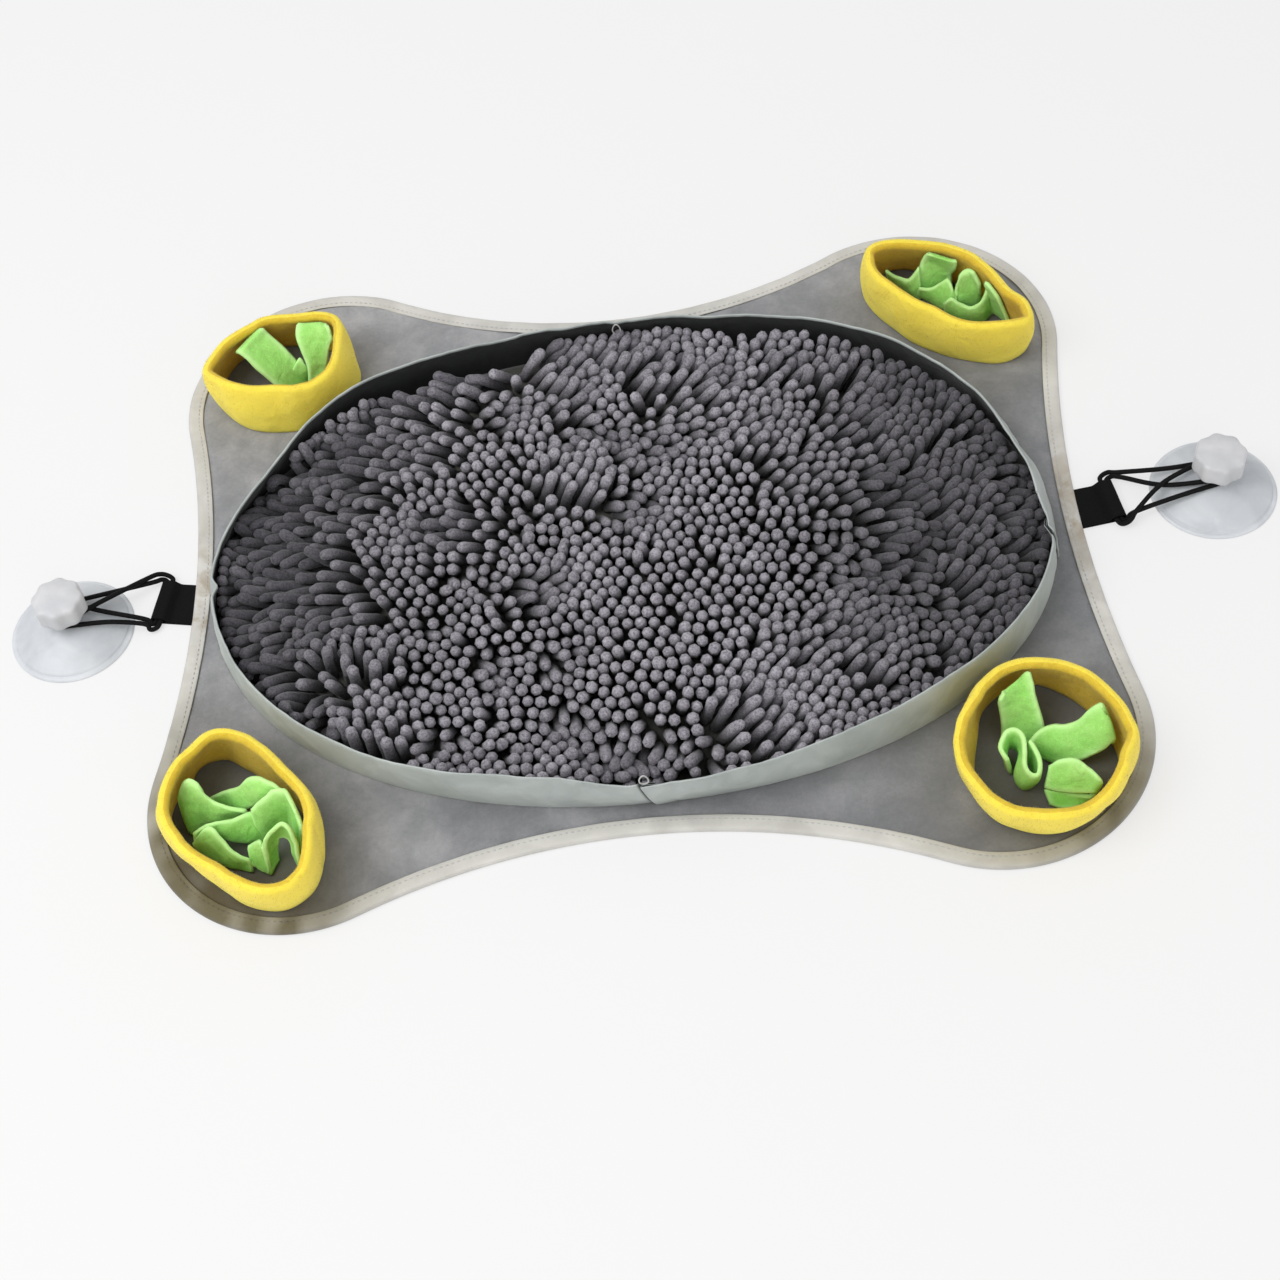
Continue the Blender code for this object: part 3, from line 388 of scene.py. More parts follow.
def curve(rows, count, closed=False):
    """A smooth curve through the rows (Catmull-Rom), read at count even steps of its parameter."""
    rows = np.asarray(rows, float)
    size = len(rows)
    at = np.arange(count) * size / count if closed else np.linspace(0.0, size - 1.0, count)
    start = np.floor(at).astype(int)
    if not closed:
        start = np.minimum(start, size - 2)
    share = (at - start)[:, None]
    picks = start[:, None] + np.arange(-1, 3)[None]
    if closed:
        knots = rows[picks % size]
    else:
        ends = np.vstack([2 * rows[0] - rows[1], rows, 2 * rows[-1] - rows[-2]])
        knots = ends[picks + 1]
    return between(*(knots[:, i] for i in range(4)), share)


def drift(points, pitch, seed, waves=9):
    """A smooth random field from about -1 to 1: sines of random headings, with wavelengths near pitch."""
    draw = np.random.default_rng(seed)
    ways = draw.normal(size=(waves, points.shape[-1]))
    ways = unit(ways) * draw.uniform(0.6, 1.7, (waves, 1)) * 2 * np.pi / pitch
    turns = draw.uniform(0, 2 * np.pi, waves)
    return np.sin(points @ ways.T + turns).sum(axis=-1) / np.sqrt(waves / 2) / 1.6


def quads_of(shape, wrap_rows, wrap_columns):
    """Vertex numbers of each quad in one grid or in a batch of grids, shape (batch, rows, columns)."""
    index = np.arange(np.prod(shape)).reshape(shape)
    if wrap_rows:
        index = np.concatenate([index, index[:, :1]], axis=1)
    if wrap_columns:
        index = np.concatenate([index, index[:, :, :1]], axis=2)
    here, right = index[:, :-1, :-1], index[:, :-1, 1:]
    up, both = index[:, 1:, :-1], index[:, 1:, 1:]
    return np.stack([here, right, both, up], axis=-1).reshape(-1, 4)


def quad_uvs(shape, wrap_rows, wrap_columns, size):
    """UV of each quad corner, in millimetres of cloth: size is the grid's height and width."""
    batch, rows, columns = shape
    steps_v, steps_u = rows - (not wrap_rows), columns - (not wrap_columns)
    v, u = np.meshgrid(np.arange(steps_v) / steps_v, np.arange(steps_u) / steps_u, indexing="ij")
    corners = [(u, v), (u + 1 / steps_u, v), (u + 1 / steps_u, v + 1 / steps_v), (u, v + 1 / steps_v)]
    one = np.stack([np.stack(corner, axis=-1) for corner in corners], axis=2).reshape(-1, 2)
    return np.tile(one * np.array([size[1], size[0]]), (batch, 1))


def signed_volume(points, quads):
    """Volume inside the quads, less than zero where they face inwards."""
    a, b, c, d = (points[quads[:, i]] for i in range(4))
    return (np.sum(a * np.cross(b, c)) + np.sum(a * np.cross(c, d))) / 6


def add_piece(name, points, quads, material, uvs=None, weld=0.0, fields=None):
    """A smooth closed piece from points in millimetres, its faces turned outwards.

    fields maps an attribute's name to one number for each point. weld merges points that lie closer.
    """
    points = np.ascontiguousarray(points, dtype=float).reshape(-1, 3)
    if signed_volume(points, quads) < 0:
        quads = quads[:, ::-1]
        uvs = uvs.reshape(-1, 4, 2)[:, ::-1].reshape(-1, 2) if uvs is not None else None
    mesh = bpy.data.meshes.new(name)
    mesh.vertices.add(len(points))
    mesh.vertices.foreach_set("co", (points * MM).ravel())
    mesh.loops.add(quads.size)
    mesh.loops.foreach_set("vertex_index", quads.ravel())
    mesh.polygons.add(len(quads))
    mesh.polygons.foreach_set("loop_start", np.arange(len(quads)) * 4)
    mesh.update(calc_edges=True)
    if uvs is not None:
        layer = mesh.uv_layers.new(name="cloth")
        layer.data.foreach_set("uv", (uvs * MM).ravel())
    for field, values in (fields or {}).items():
        attribute = mesh.attributes.new(field, "FLOAT", "POINT")
        attribute.data.foreach_set("value", np.ascontiguousarray(values, dtype=float).ravel())
    if weld:
        shell = bmesh.new()
        shell.from_mesh(mesh)
        bmesh.ops.remove_doubles(shell, verts=shell.verts, dist=weld * MM)
        shell.to_mesh(mesh)
        shell.free()
    mesh.validate()
    mesh.polygons.foreach_set("use_smooth", np.ones(len(mesh.polygons), bool))
    mesh.materials.append(material)
    piece = bpy.data.objects.new(name, mesh)
    bpy.context.scene.collection.objects.link(piece)
    return piece


def grid_size(grid, wrap_columns=False):
    """Mean height and width of a grid of points, along its rows and columns."""
    heights = np.linalg.norm(np.diff(grid, axis=0), axis=-1).sum(axis=0)
    across = np.concatenate([grid, grid[:, :1]], axis=1) if wrap_columns else grid
    widths = np.linalg.norm(np.diff(across, axis=1), axis=-1).sum(axis=1)
    return heights.mean(), widths.mean()


def sheet_piece(name, grid, thickness, material, wrap=False, round_edge=0.5, fields=None):
    """Cloth of a thickness round a middle surface.

    Both faces lie half the thickness off the surface along its normals, and they meet in a row of points
    pushed out past the rim by round_edge times the thickness. With wrap, the last column joins the first.
    A field is one grid of numbers, or a pair of them for the front and the back.
    """
    rows, columns = grid.shape[:2]
    thickness = np.broadcast_to(thickness, (rows, columns))[..., None]
    around = np.concatenate([grid[:, -1:], grid, grid[:, :1]], axis=1)
    along_columns = (around[:, 2:] - around[:, :-2]) if wrap else np.gradient(grid, axis=1)
    normal = unit(np.cross(along_columns, np.gradient(grid, axis=0)))
    front, back = grid + normal * thickness / 2, grid - normal * thickness / 2
    index = np.arange(rows * columns).reshape(rows, columns)
    if wrap:
        loops = [(index[0], index[1]), (index[-1][::-1], index[-2][::-1])]
    else:
        edge = np.concatenate([index[0], index[1:, -1], index[-1, -2::-1], index[-2:0:-1, 0]])
        row, column = np.unravel_index(edge, index.shape)
        inner = index[np.clip(row, 1, rows - 2), np.clip(column, 1, columns - 2)]
        loops = [(edge, inner)]
    flat = grid.reshape(-1, 3)
    thick = thickness.reshape(-1, 1)
    size = rows * columns
    points, quads = [front.reshape(-1, 3), back.reshape(-1, 3)], []
    faces = quads_of((1, rows, columns), False, wrap)
    quads += [faces, faces[:, ::-1] + size]
    used = 2 * size
    picks = [np.arange(size), np.arange(size)]
    for edge, inner in loops:
        points.append(flat[edge] + unit(flat[edge] - flat[inner]) * thick[edge] * round_edge)
        rim = np.arange(used, used + len(edge))
        used += len(edge)
        picks.append(edge)
        ahead, rim_ahead = np.roll(edge, -1), np.roll(rim, -1)
        quads.append(np.stack([ahead, edge, rim, rim_ahead], axis=-1))
        quads.append(np.stack([edge + size, ahead + size, rim_ahead, rim], axis=-1))
    height, width = grid_size(grid, wrap)
    span = np.array([width, height])
    uv = quad_uvs((1, rows, columns), False, wrap, (height, width))
    back_uv = uv.reshape(-1, 4, 2)[:, ::-1].reshape(-1, 2)
    parameter = np.stack(np.meshgrid(np.arange(columns) / columns, np.arange(rows) / rows), axis=-1)
    rim_uv = parameter.reshape(-1, 2) * span
    rim_uvs = []
    for edge, _ in loops:
        ahead = np.roll(edge, -1)
        for pair in ((ahead, edge, edge, ahead), (edge, ahead, ahead, edge)):
            rim_uvs.append(rim_uv[np.stack(pair, axis=-1).ravel()])
    values = {}
    for field, value in (fields or {}).items():
        front_value, back_value = value if isinstance(value, tuple) else (value, value)
        sides = [front_value, back_value, *[front_value] * len(loops)]
        sides = [np.broadcast_to(side, (rows, columns)).ravel() for side in sides]
        values[field] = np.concatenate([side[pick] for side, pick in zip(sides, picks)])
    return add_piece(name, np.vstack(points), np.vstack(quads), material,
                     np.vstack([uv, back_uv] + rim_uvs), fields=values)


def tube_grid(path, radius, sides, closed=True):
    """Rings of points square to a path, or to each path of a batch, the first side kept level."""
    ahead = np.roll(path, -1, axis=-2) - np.roll(path, 1, axis=-2)
    if not closed:
        ahead[..., 0, :] = path[..., 1, :] - path[..., 0, :]
        ahead[..., -1, :] = path[..., -1, :] - path[..., -2, :]
    along = unit(ahead)
    side = unit(np.cross(along, np.array([0.013, 0.007, 1.0])))
    top = np.cross(side, along)
    turns = np.arange(sides) * 2 * np.pi / sides
    radius = np.asarray(radius, float)[..., None, None]
    return (path[..., None, :] + radius * np.cos(turns)[:, None] * side[..., None, :]
            + radius * np.sin(turns)[:, None] * top[..., None, :])


def turned_piece(name, profile, steps, centre, material, weld=0.01, **ripples):
    """A profile of radius and height turned about the vertical through centre."""
    turns = np.arange(steps) * 2 * np.pi / steps
    profile = np.asarray(profile, float)
    radii = np.broadcast_to(profile[:, :1], (len(profile), steps)).copy()
    if ripples:
        outside = np.clip((profile[:, :1] - ripples["inside"]) / ripples["fade"], 0, 1)
        radii += outside * ripples["depth"] * np.cos(ripples["count"] * turns)
    plan = np.array(centre) + radii[..., None] * np.stack([np.cos(turns), np.sin(turns)], axis=-1)
    points = at_height(plan, profile[:, 1:2])
    shape = (1, *radii.shape)
    return add_piece(name, points, quads_of(shape, False, True), material,
                     quad_uvs(shape, False, True, (60, 200)), weld=weld)


# ---- shader nodes

def feed(tree, socket, value):
    """Gives a socket a plain value, or links another node's output to it."""
    if isinstance(value, bpy.types.NodeSocket):
        tree.links.new(value, socket)
    else:
        socket.default_value = value


def node(tree, kind, inputs=None, **settings):
    """A shader node with its settings, each input a plain value or another node's output."""
    made = tree.nodes.new("ShaderNode" + kind)
    for key, value in settings.items():
        setattr(made, key, value)
    for key, value in (inputs or {}).items():
        feed(tree, made.inputs[key], value)
    return made


def sum_of(tree, operation, first, second, clamp=False):
    """Output of a Math node."""
    return node(tree, "Math", {0: first, 1: second}, operation=operation, use_clamp=clamp).outputs[0]


def start_group(name, inputs, outputs):
    """An empty node group with its named sockets, and its input and output nodes."""
    group = bpy.data.node_groups.new(name, "ShaderNodeTree")
    for socket, (kind, value) in inputs.items():
        made = group.interface.new_socket(name=socket, in_out="INPUT", socket_type="NodeSocket" + kind)
        if value is not None:
            made.default_value = value
    for socket in outputs:
        group.interface.new_socket(name=socket, in_out="OUTPUT", socket_type="NodeSocketFloat")
    return group, group.nodes.new("NodeGroupInput").outputs, group.nodes.new("NodeGroupOutput").inputs


def make_nap_group():
    """Short fibres: fine noise for their ends over a coarser one for tufts. Height and Shade run 0 to 1."""
    group, given, result = start_group(
        "nap", {"Vector": ("Vector", None), "Fibre": ("Float", 2.0), "Tuft": ("Float", 0.4)},
        ("Height", "Shade"))
    fine = node(group, "TexNoise", {"Vector": given["Vector"], "Detail": 3.0, "Roughness": 0.7})
    coarse = node(group, "TexNoise", {"Vector": given["Vector"], "Detail": 4.0, "Roughness": 0.6})
    for made, key in ((fine, "Fibre"), (coarse, "Tuft")):
        scale = sum_of(group, "MULTIPLY", given[key], 1000.0)
        group.links.new(scale, made.inputs["Scale"])
    both = sum_of(group, "ADD", sum_of(group, "MULTIPLY", fine.outputs["Fac"], 0.6),
                  sum_of(group, "MULTIPLY", coarse.outputs["Fac"], 0.4))
    group.links.new(both, result["Height"])
    spread = node(group, "MapRange", {"Value": both, "From Min": 0.32, "From Max": 0.68})
    group.links.new(spread.outputs[0], result["Shade"])
    return group


def make_weave_group():
    """Plain weave: warp and weft ridges that take turns on top, from UVs in metres."""
    group, given, result = start_group(
        "weave", {"Vector": ("Vector", None), "Pitch": ("Float", 0.001)}, ("Height",))
    parts = node(group, "SeparateXYZ", {"Vector": given["Vector"]})
    rate = sum_of(group, "DIVIDE", 2 * np.pi, given["Pitch"])
    waves = []
    for axis in ("X", "Y"):
        turn = sum_of(group, "MULTIPLY", parts.outputs[axis], rate)
        waves.append(node(group, "Math", {0: turn}, operation="SINE").outputs[0])
    height = sum_of(group, "MULTIPLY", waves[0], waves[1])
    group.links.new(sum_of(group, "MULTIPLY_ADD", height, 0.5), result["Height"])
    return group


def make_mottle_group():
    """Cloudy unevenness of dye and dirt: two sizes of noise. Shade runs 0 to 1."""
    group, given, result = start_group(
        "mottle", {"Vector": ("Vector", None), "Size": ("Float", 0.05), "Contrast": ("Float", 1.0)},
        ("Shade",))
    scale = sum_of(group, "DIVIDE", 1.0, given["Size"])
    cloud = node(group, "TexNoise", {"Vector": given["Vector"], "Scale": scale, "Detail": 5.0,
                                     "Roughness": 0.55, "Distortion": 0.6})
    centred = sum_of(group, "SUBTRACT", cloud.outputs["Fac"], 0.5)
    spread = sum_of(group, "MULTIPLY", centred, sum_of(group, "MULTIPLY", given["Contrast"], 2.2))
    group.links.new(sum_of(group, "ADD", spread, 0.5, clamp=True), result["Shade"])
    return group


GROUPS = {"nap": make_nap_group(), "weave": make_weave_group(), "mottle": make_mottle_group()}


def colour(red, green, blue):
    """Linear colour of a shade named by its screen values from 0 to 255."""
    shade = np.array([red, green, blue]) / 255.0
    linear = np.where(shade <= 0.04045, shade / 12.92, ((shade + 0.055) / 1.055) ** 2.4)
    return (*(float(x) for x in linear), 1.0)


class Finish:
    """A Principled material that is built up from colour, height and roughness."""

    def __init__(self, name, **sockets):
        self.material = bpy.data.materials.new(name)
        self.material.use_nodes = True
        self.tree = self.material.node_tree
        self.shader = self.tree.nodes["Principled BSDF"]
        for key, value in sockets.items():
            self.shader.inputs[key.replace("_", " ")].default_value = value
        coordinates = node(self.tree, "TexCoord")
        self.place = coordinates.outputs["Object"]
        self.cloth = coordinates.outputs["UV"]

    def group(self, name, **inputs):
        """Outputs of one of the shared node groups."""
        made = node(self.tree, "Group", node_tree=GROUPS[name])
        for key, value in inputs.items():
            feed(self.tree, made.inputs[key], value)
        return made.outputs

    def field(self, name):
        """A piece's own attribute."""
        return node(self.tree, "Attribute", attribute_name=name).outputs["Fac"]

    def mix(self, factor, first, second, blend="MIX"):
        """Colour between two colours or colour outputs."""
        made = node(self.tree, "Mix", data_type="RGBA", blend_type=blend)
        for key, value in ((0, factor), (6, first), (7, second)):
            feed(self.tree, made.inputs[key], value)
        return made.outputs[2]

    def paint(self, shade):
        """Links the base colour."""
        self.tree.links.new(shade, self.shader.inputs["Base Color"])

    def emboss(self, height, distance, strength=1.0):
        """Links a bump, distance in millimetres, over any bump that is already there."""
        bump = node(self.tree, "Bump", {"Height": height, "Distance": distance * MM, "Strength": strength})
        earlier = self.shader.inputs["Normal"].links
        if earlier:
            self.tree.links.new(earlier[0].from_socket, bump.inputs["Normal"])
        self.tree.links.new(bump.outputs[0], self.shader.inputs["Normal"])


def make_felt():
    """Grey needle felt, cloudy, with painted light that makes it lighter to the left and back, and painted
    shade where it is shut in under the rings and at the wall.
    """
    made = Finish("mat_felt", Roughness=0.95, Sheen_Weight=0.25, Sheen_Roughness=0.6)
    cloud = made.group("mottle", Vector=made.place, Size=0.05, Contrast=1.2)["Shade"]
    stain = made.group("mottle", Vector=made.place, Size=0.021, Contrast=2.0)["Shade"]
    nap = made.group("nap", Vector=made.place, Fibre=1.6, Tuft=0.35)
    # shaded and lit copies of the felt, mixed by painted light that is stronger to the left and the back
    shaded_felt = made.mix(cloud, colour(96, 97, 100), colour(128, 129, 132))
    lit_felt = made.mix(cloud, colour(146, 146, 149), colour(180, 179, 180))
    shade = made.mix(made.field("painted_left_light"), shaded_felt, lit_felt)
    shade = made.mix(sum_of(made.tree, "MULTIPLY", stain, 0.3), shade, colour(92, 98, 98))
    shade = made.mix(made.field("soiled"), shade, colour(76, 68, 44))
    shade = made.mix(nap["Shade"], made.mix(1.0, shade, colour(218, 218, 220), "MULTIPLY"), shade)
    # painted shade under the rings and inside the wall
    shade = made.mix(made.field("painted_shade"), shade, colour(74, 74, 68))
    made.paint(shade)
    made.emboss(nap["Height"], 0.35)
    return made.material


def make_tape():
    """Warm light grey tape in a fine plain weave, with faint brown marks."""
    made = Finish("binding_tape", Roughness=0.85, Sheen_Weight=0.2)
    weave = made.group("weave", Vector=made.cloth, Pitch=0.0011)
    cloud = made.group("mottle", Vector=made.place, Size=0.03, Contrast=1.2)["Shade"]
    marks = made.group("mottle", Vector=made.place, Size=0.017, Contrast=2.4)["Shade"]
    shade = made.mix(cloud, colour(178, 176, 170), colour(200, 198, 192))
    worn = sum_of(made.tree, "MULTIPLY", marks, made.field("marks"))
    shade = made.mix(worn, shade, colour(150, 134, 112))
    shade = made.mix(made.field("soiled"), shade, colour(96, 90, 70))
    made.paint(shade)
    made.emboss(weave["Height"], 0.12)
    made.emboss(cloud, 0.6)
    return made.material


def make_wall_cloth():
    """Pale greenish grey cloth outside, with painted shade nearly black over the inner face and along the
    pleats' folds.
    """
    made = Finish("wall_cloth", Roughness=0.9, Sheen_Weight=0.08, Specular_IOR_Level=0.3)
    weave = made.group("weave", Vector=made.cloth, Pitch=0.0011)
    cloud = made.group("mottle", Vector=made.place, Size=0.03, Contrast=1.1)["Shade"]
    outer = made.mix(cloud, colour(151, 158, 155), colour(177, 183, 180))
    inner = made.mix(cloud, colour(14, 16, 16), colour(26, 28, 28))
    # painted shade over the inner face and along the pleats' folds
    made.paint(made.mix(made.field("inside"), outer, inner))
    made.emboss(weave["Height"], 0.12)
    made.emboss(cloud, 0.8)
    return made.material


def make_chenille():
    """Violet grey chenille with a fuzzy nap: lighter at the fingers' tips, with painted shade towards their
    roots and deep in the pile.
    """
    made = Finish("chenille", Roughness=0.9, Sheen_Weight=0.15, Sheen_Roughness=0.5)
    nap = made.group("nap", Vector=made.place, Fibre=0.8, Tuft=0.4)
    # brightness that differs at random per finger, with painted shade where fingers lie down
    body = made.mix(made.field("tone_and_painted_shade"), colour(98, 95, 103), colour(184, 180, 188))
    # painted shade: near black towards the roots and deep in the pile
    shade = made.mix(made.field("along"), colour(20, 19, 23), body)
    shade = made.mix(nap["Shade"], made.mix(1.0, shade, colour(128, 126, 131), "MULTIPLY"), shade)
    made.paint(shade)
    made.emboss(nap["Height"], 0.9)
    return made.material


def make_fleece(name, dark, light, shadow, edge, soak):
    """Brushed fleece: a short nap over clouds of colour, with fields for painted shade low down and painted
    light on rims, edges and inner walls.

    soak is the share of light that goes into the cloth and comes out further on.
    """
    made = Finish(name, Roughness=0.9, Sheen_Weight=0.08, Sheen_Roughness=0.5, Specular_IOR_Level=0.2,
                  Subsurface_Weight=soak, Subsurface_Radius=(1.0, 0.93, 0.5), Subsurface_Scale=12 * MM)
    nap = made.group("nap", Vector=made.place, Fibre=1.3, Tuft=0.3)
    cloud = made.group("mottle", Vector=made.place, Size=0.02, Contrast=1.0)["Shade"]
    shade = made.mix(cloud, dark, light)
    shade = made.mix(nap["Shade"], made.mix(1.0, shade, colour(222, 219, 208), "MULTIPLY"), shade)
    # painted light towards the edge colour, then painted shade towards the shadow colour
    shade = made.mix(made.field("painted_light"), shade, edge)
    made.paint(made.mix(made.field("painted_shade"), shade, shadow))
    made.emboss(nap["Height"], 0.8)
    made.emboss(cloud, 1.2)
    return made.material


def make_thread(name, shade):
    """Thread with a fine nap, browned where it is soiled."""
    made = Finish(name, Roughness=0.6, Sheen_Weight=0.1)
    nap = made.group("nap", Vector=made.place, Fibre=3.0, Tuft=1.0)
    shade = made.mix(made.field("soiled"), shade, colour(96, 90, 70))
    made.paint(made.mix(nap["Shade"], made.mix(1.0, shade, colour(205, 205, 205), "MULTIPLY"), shade))
    made.emboss(nap["Height"], 0.15)
    return made.material


def make_webbing():
    """Black webbing in a coarse plain weave."""
    made = Finish("tab_webbing", Roughness=0.85, Specular_IOR_Level=0.15)
    weave = made.group("weave", Vector=made.cloth, Pitch=0.0016)
    nap = made.group("nap", Vector=made.place, Fibre=2.0, Tuft=0.5)
    made.paint(made.mix(nap["Shade"], colour(4, 4, 5), colour(12, 12, 13)))
    made.emboss(weave["Height"], 0.3)
    return made.material


def make_braid():
    """Black braided cover of the elastic."""
    made = Finish("elastic_braid", Roughness=0.8, Specular_IOR_Level=0.18)
    weave = made.group("weave", Vector=made.cloth, Pitch=0.0015)
    nap = made.group("nap", Vector=made.place, Fibre=2.0, Tuft=0.5)
    made.paint(made.mix(nap["Shade"], colour(4, 4, 5), colour(15, 15, 16)))
    made.emboss(weave["Height"], 0.25)
    return made.material


def make_vinyl(name, dark, light, transmission, roughness):
    """Cloudy clear vinyl or plastic, a little uneven."""
    made = Finish(name, Transmission_Weight=transmission, Roughness=roughness, IOR=1.45)
    cloud = made.group("mottle", Vector=made.place, Size=0.02, Contrast=1.0)["Shade"]
    made.paint(made.mix(cloud, dark, light))
    made.emboss(cloud, 0.3)
    return made.material


FELT = make_felt()
TAPE_CLOTH = make_tape()
WALL_CLOTH = make_wall_cloth()
CHENILLE = make_chenille()
# fleece colours: dark and light clouds, painted shadow, painted highlight, and the share of light that
# soaks in
YELLOW = make_fleece("yellow_fleece", colour(219, 185, 54), colour(230, 197, 66), colour(206, 162, 36),
                     colour(250, 226, 88), 0.5)
GREEN = make_fleece("green_fleece", colour(156, 232, 112), colour(184, 242, 140), colour(92, 172, 58),
                    colour(198, 248, 160), 0.0)
PALE_THREAD = make_thread("pale_thread", colour(190, 190, 188))
WEBBING_CLOTH = make_webbing()
BRAID = make_braid()
CUP_VINYL = make_vinyl("cup_vinyl", colour(186, 190, 195), colour(210, 213, 217), 0.2, 0.4)
NUT_PLASTIC = make_vinyl("nut_plastic", colour(194, 195, 198), colour(214, 214, 216), 0.2, 0.35)


def settle(piece, body, slot, *nodes):
    """Puts a finished piece on its body and hides the CAD nodes that it stands for. The slot is not used.
    """
    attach(piece, body)
    if nodes:
        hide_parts(*nodes)
    return piece


# ---- felt and binding

def hollow_centre(first, second, radius):
    """Centre of the hollow arc that touches two corner arcs from outside."""
    start = np.array([first.x, first.y])
    span = np.array([second.x, second.y]) - start
    length = np.linalg.norm(span)
    reach_1, reach_2 = first.radius + radius, second.radius + radius
    along = (length ** 2 + reach_1 ** 2 - reach_2 ** 2) / (2 * length)
    out = np.sqrt(reach_1 ** 2 - along ** 2)
    way = span / length
    return start + way * along + np.array([way[1], -way[0]]) * out


def arc(centre, radius, start_point, end_point, turn):
    """Points of an arc from one direction to the next, turn +1 anticlockwise or -1 clockwise."""
    begin, end = (np.arctan2(*(point - centre)[::-1]) for point in (start_point, end_point))
    sweep = (end - begin) * turn % (2 * np.pi) * turn
    angles = begin + sweep * np.arange(ARC_STEPS) / ARC_STEPS
    return centre + radius * np.stack([np.cos(angles), np.sin(angles)], axis=-1)


def outline(inset):
    """The mat's outline, moved in by inset: four corner arcs joined by four hollow arcs."""
    corners = [np.array([corner.x, corner.y]) for corner in CORNERS]
    hollows = [hollow_centre(CORNERS[i], CORNERS[(i + 1) % 4], HOLLOW_RADII[i]) for i in range(4)]
    pieces = []
    for i, corner in enumerate(CORNERS):
        ahead = corners[(i + 1) % 4]
        pieces.append(arc(corners[i], corner.radius - inset, hollows[i - 1], hollows[i], 1))
        pieces.append(arc(hollows[i], HOLLOW_RADII[i] + inset, corners[i], ahead, -1))
    return np.vstack(pieces)


def polar_radius(line, plan):
    """Distance from the origin to a closed line round it, in the direction of each plan point."""
    turn = np.arctan2(line[:, 1], line[:, 0])
    order = np.argsort(turn)
    angles = np.arctan2(plan[..., 1], plan[..., 0])
    return np.interp(angles, turn[order], np.linalg.norm(line, axis=1)[order], period=2 * np.pi)


def ring_lines(ring):
    """Rim line and foot line of a ring in plan, down the middle of its band, from the ring's centre."""
    spots = np.array(ring.spots).reshape(-1, 2, 2)
    plan = seen_at(spots, np.array([READ_RIM, FOOT])) - [ring.x, ring.y]
    return curve(plan.reshape(-1, 4), RING_COLUMNS, closed=True).reshape(-1, 2, 2).transpose(1, 0, 2)


def ring_share(ring, plan, level, inset=0.0):
    """How far out in a ring a plan point is: 0 at its centre and 1 at its band, moved in by inset."""
    rim, foot = ring_lines(ring)
    away = plan - np.array([ring.x, ring.y])
    limit = polar_radius(foot, away) * (1 - level) + polar_radius(rim, away) * level - inset
    return np.linalg.norm(away, axis=-1) / limit


def disc_grid(count):
    """A square grid pressed into a disc of radius 1: its radii and its angles in degrees."""
    across, up = np.meshgrid(np.linspace(-1, 1, count), np.linspace(-1, 1, count))
    x, y = across * np.sqrt(1 - up ** 2 / 2), up * np.sqrt(1 - across ** 2 / 2)
    return np.hypot(x, y), np.degrees(np.arctan2(y, x))


def soiled(plan):
    """Share of brown soil on the mat: round the two front corners, and patchy."""
    share = np.zeros(plan.shape[:-1])
    for soil in SOIL:
        share += soil.share * np.exp(-(np.linalg.norm(plan - [soil.x, soil.y], axis=-1) / soil.spread) ** 2)
    return np.clip(share * (1 + 0.2 * drift(plan, 30.0, 13)), 0, 1)


def make_base():
    """Felt panel, pressed thin at its bound edge, with slight waves between the things sewn to it."""
    share, angles = disc_grid(PANEL_STEPS)
    reach = polar_radius(outline(TAPE + GAP), heading_vector(angles))
    plan = heading_vector(angles) * (share * reach)[..., None]
    edge_in = (1 - share) * reach
    thick = np.interp(edge_in, [0, TAPE_WIDTH - 1, TAPE_WIDTH + 3], [RIM_HIGH - RIM_LOW, 1.6, FELT_TOP])
    free = np.clip((edge_in - TAPE_WIDTH) / 20, 0, 1)
    grid = at_height(plan, thick / 2 + np.interp(edge_in, [0, TAPE_WIDTH], [RIM_LOW, 0.0]) * 0.6)
    grid[..., 2] += 0.1 * free * (1 + np.clip(drift(plan, 45.0, 11), -1, 1))
    # painted shade on the felt: partly under the rings, fully inside the wall
    painted_shade = np.zeros(share.shape)
    for ring in RINGS.values():
        painted_shade = np.maximum(painted_shade, np.clip((1.12 - ring_share(ring, plan, 0.0)) / 0.14, 0, 1) * 0.4)
    oval_x = (plan[..., 0] - WALL_FOOT.x) / WALL_FOOT.long
    oval_y = (plan[..., 1] - WALL_FOOT.y) / WALL_FOOT.short
    painted_shade = np.maximum(painted_shade, np.clip((1.01 - np.hypot(oval_x, oval_y)) / 0.02, 0, 1))
    # painted light: the felt lighter towards the left and the back
    painted_left_light = np.clip(0.5 - plan[..., 0] / 1200 + plan[..., 1] / 1100 + 0.12 * drift(plan, 90.0, 12), 0, 1)
    felt = sheet_piece("felt_panel", grid, thick, FELT, round_edge=0.2,
                       fields={"painted_shade": painted_shade, "painted_left_light": painted_left_light, "soiled": soiled(plan)})
    settle(felt, "mat", "felt", "base_panel")


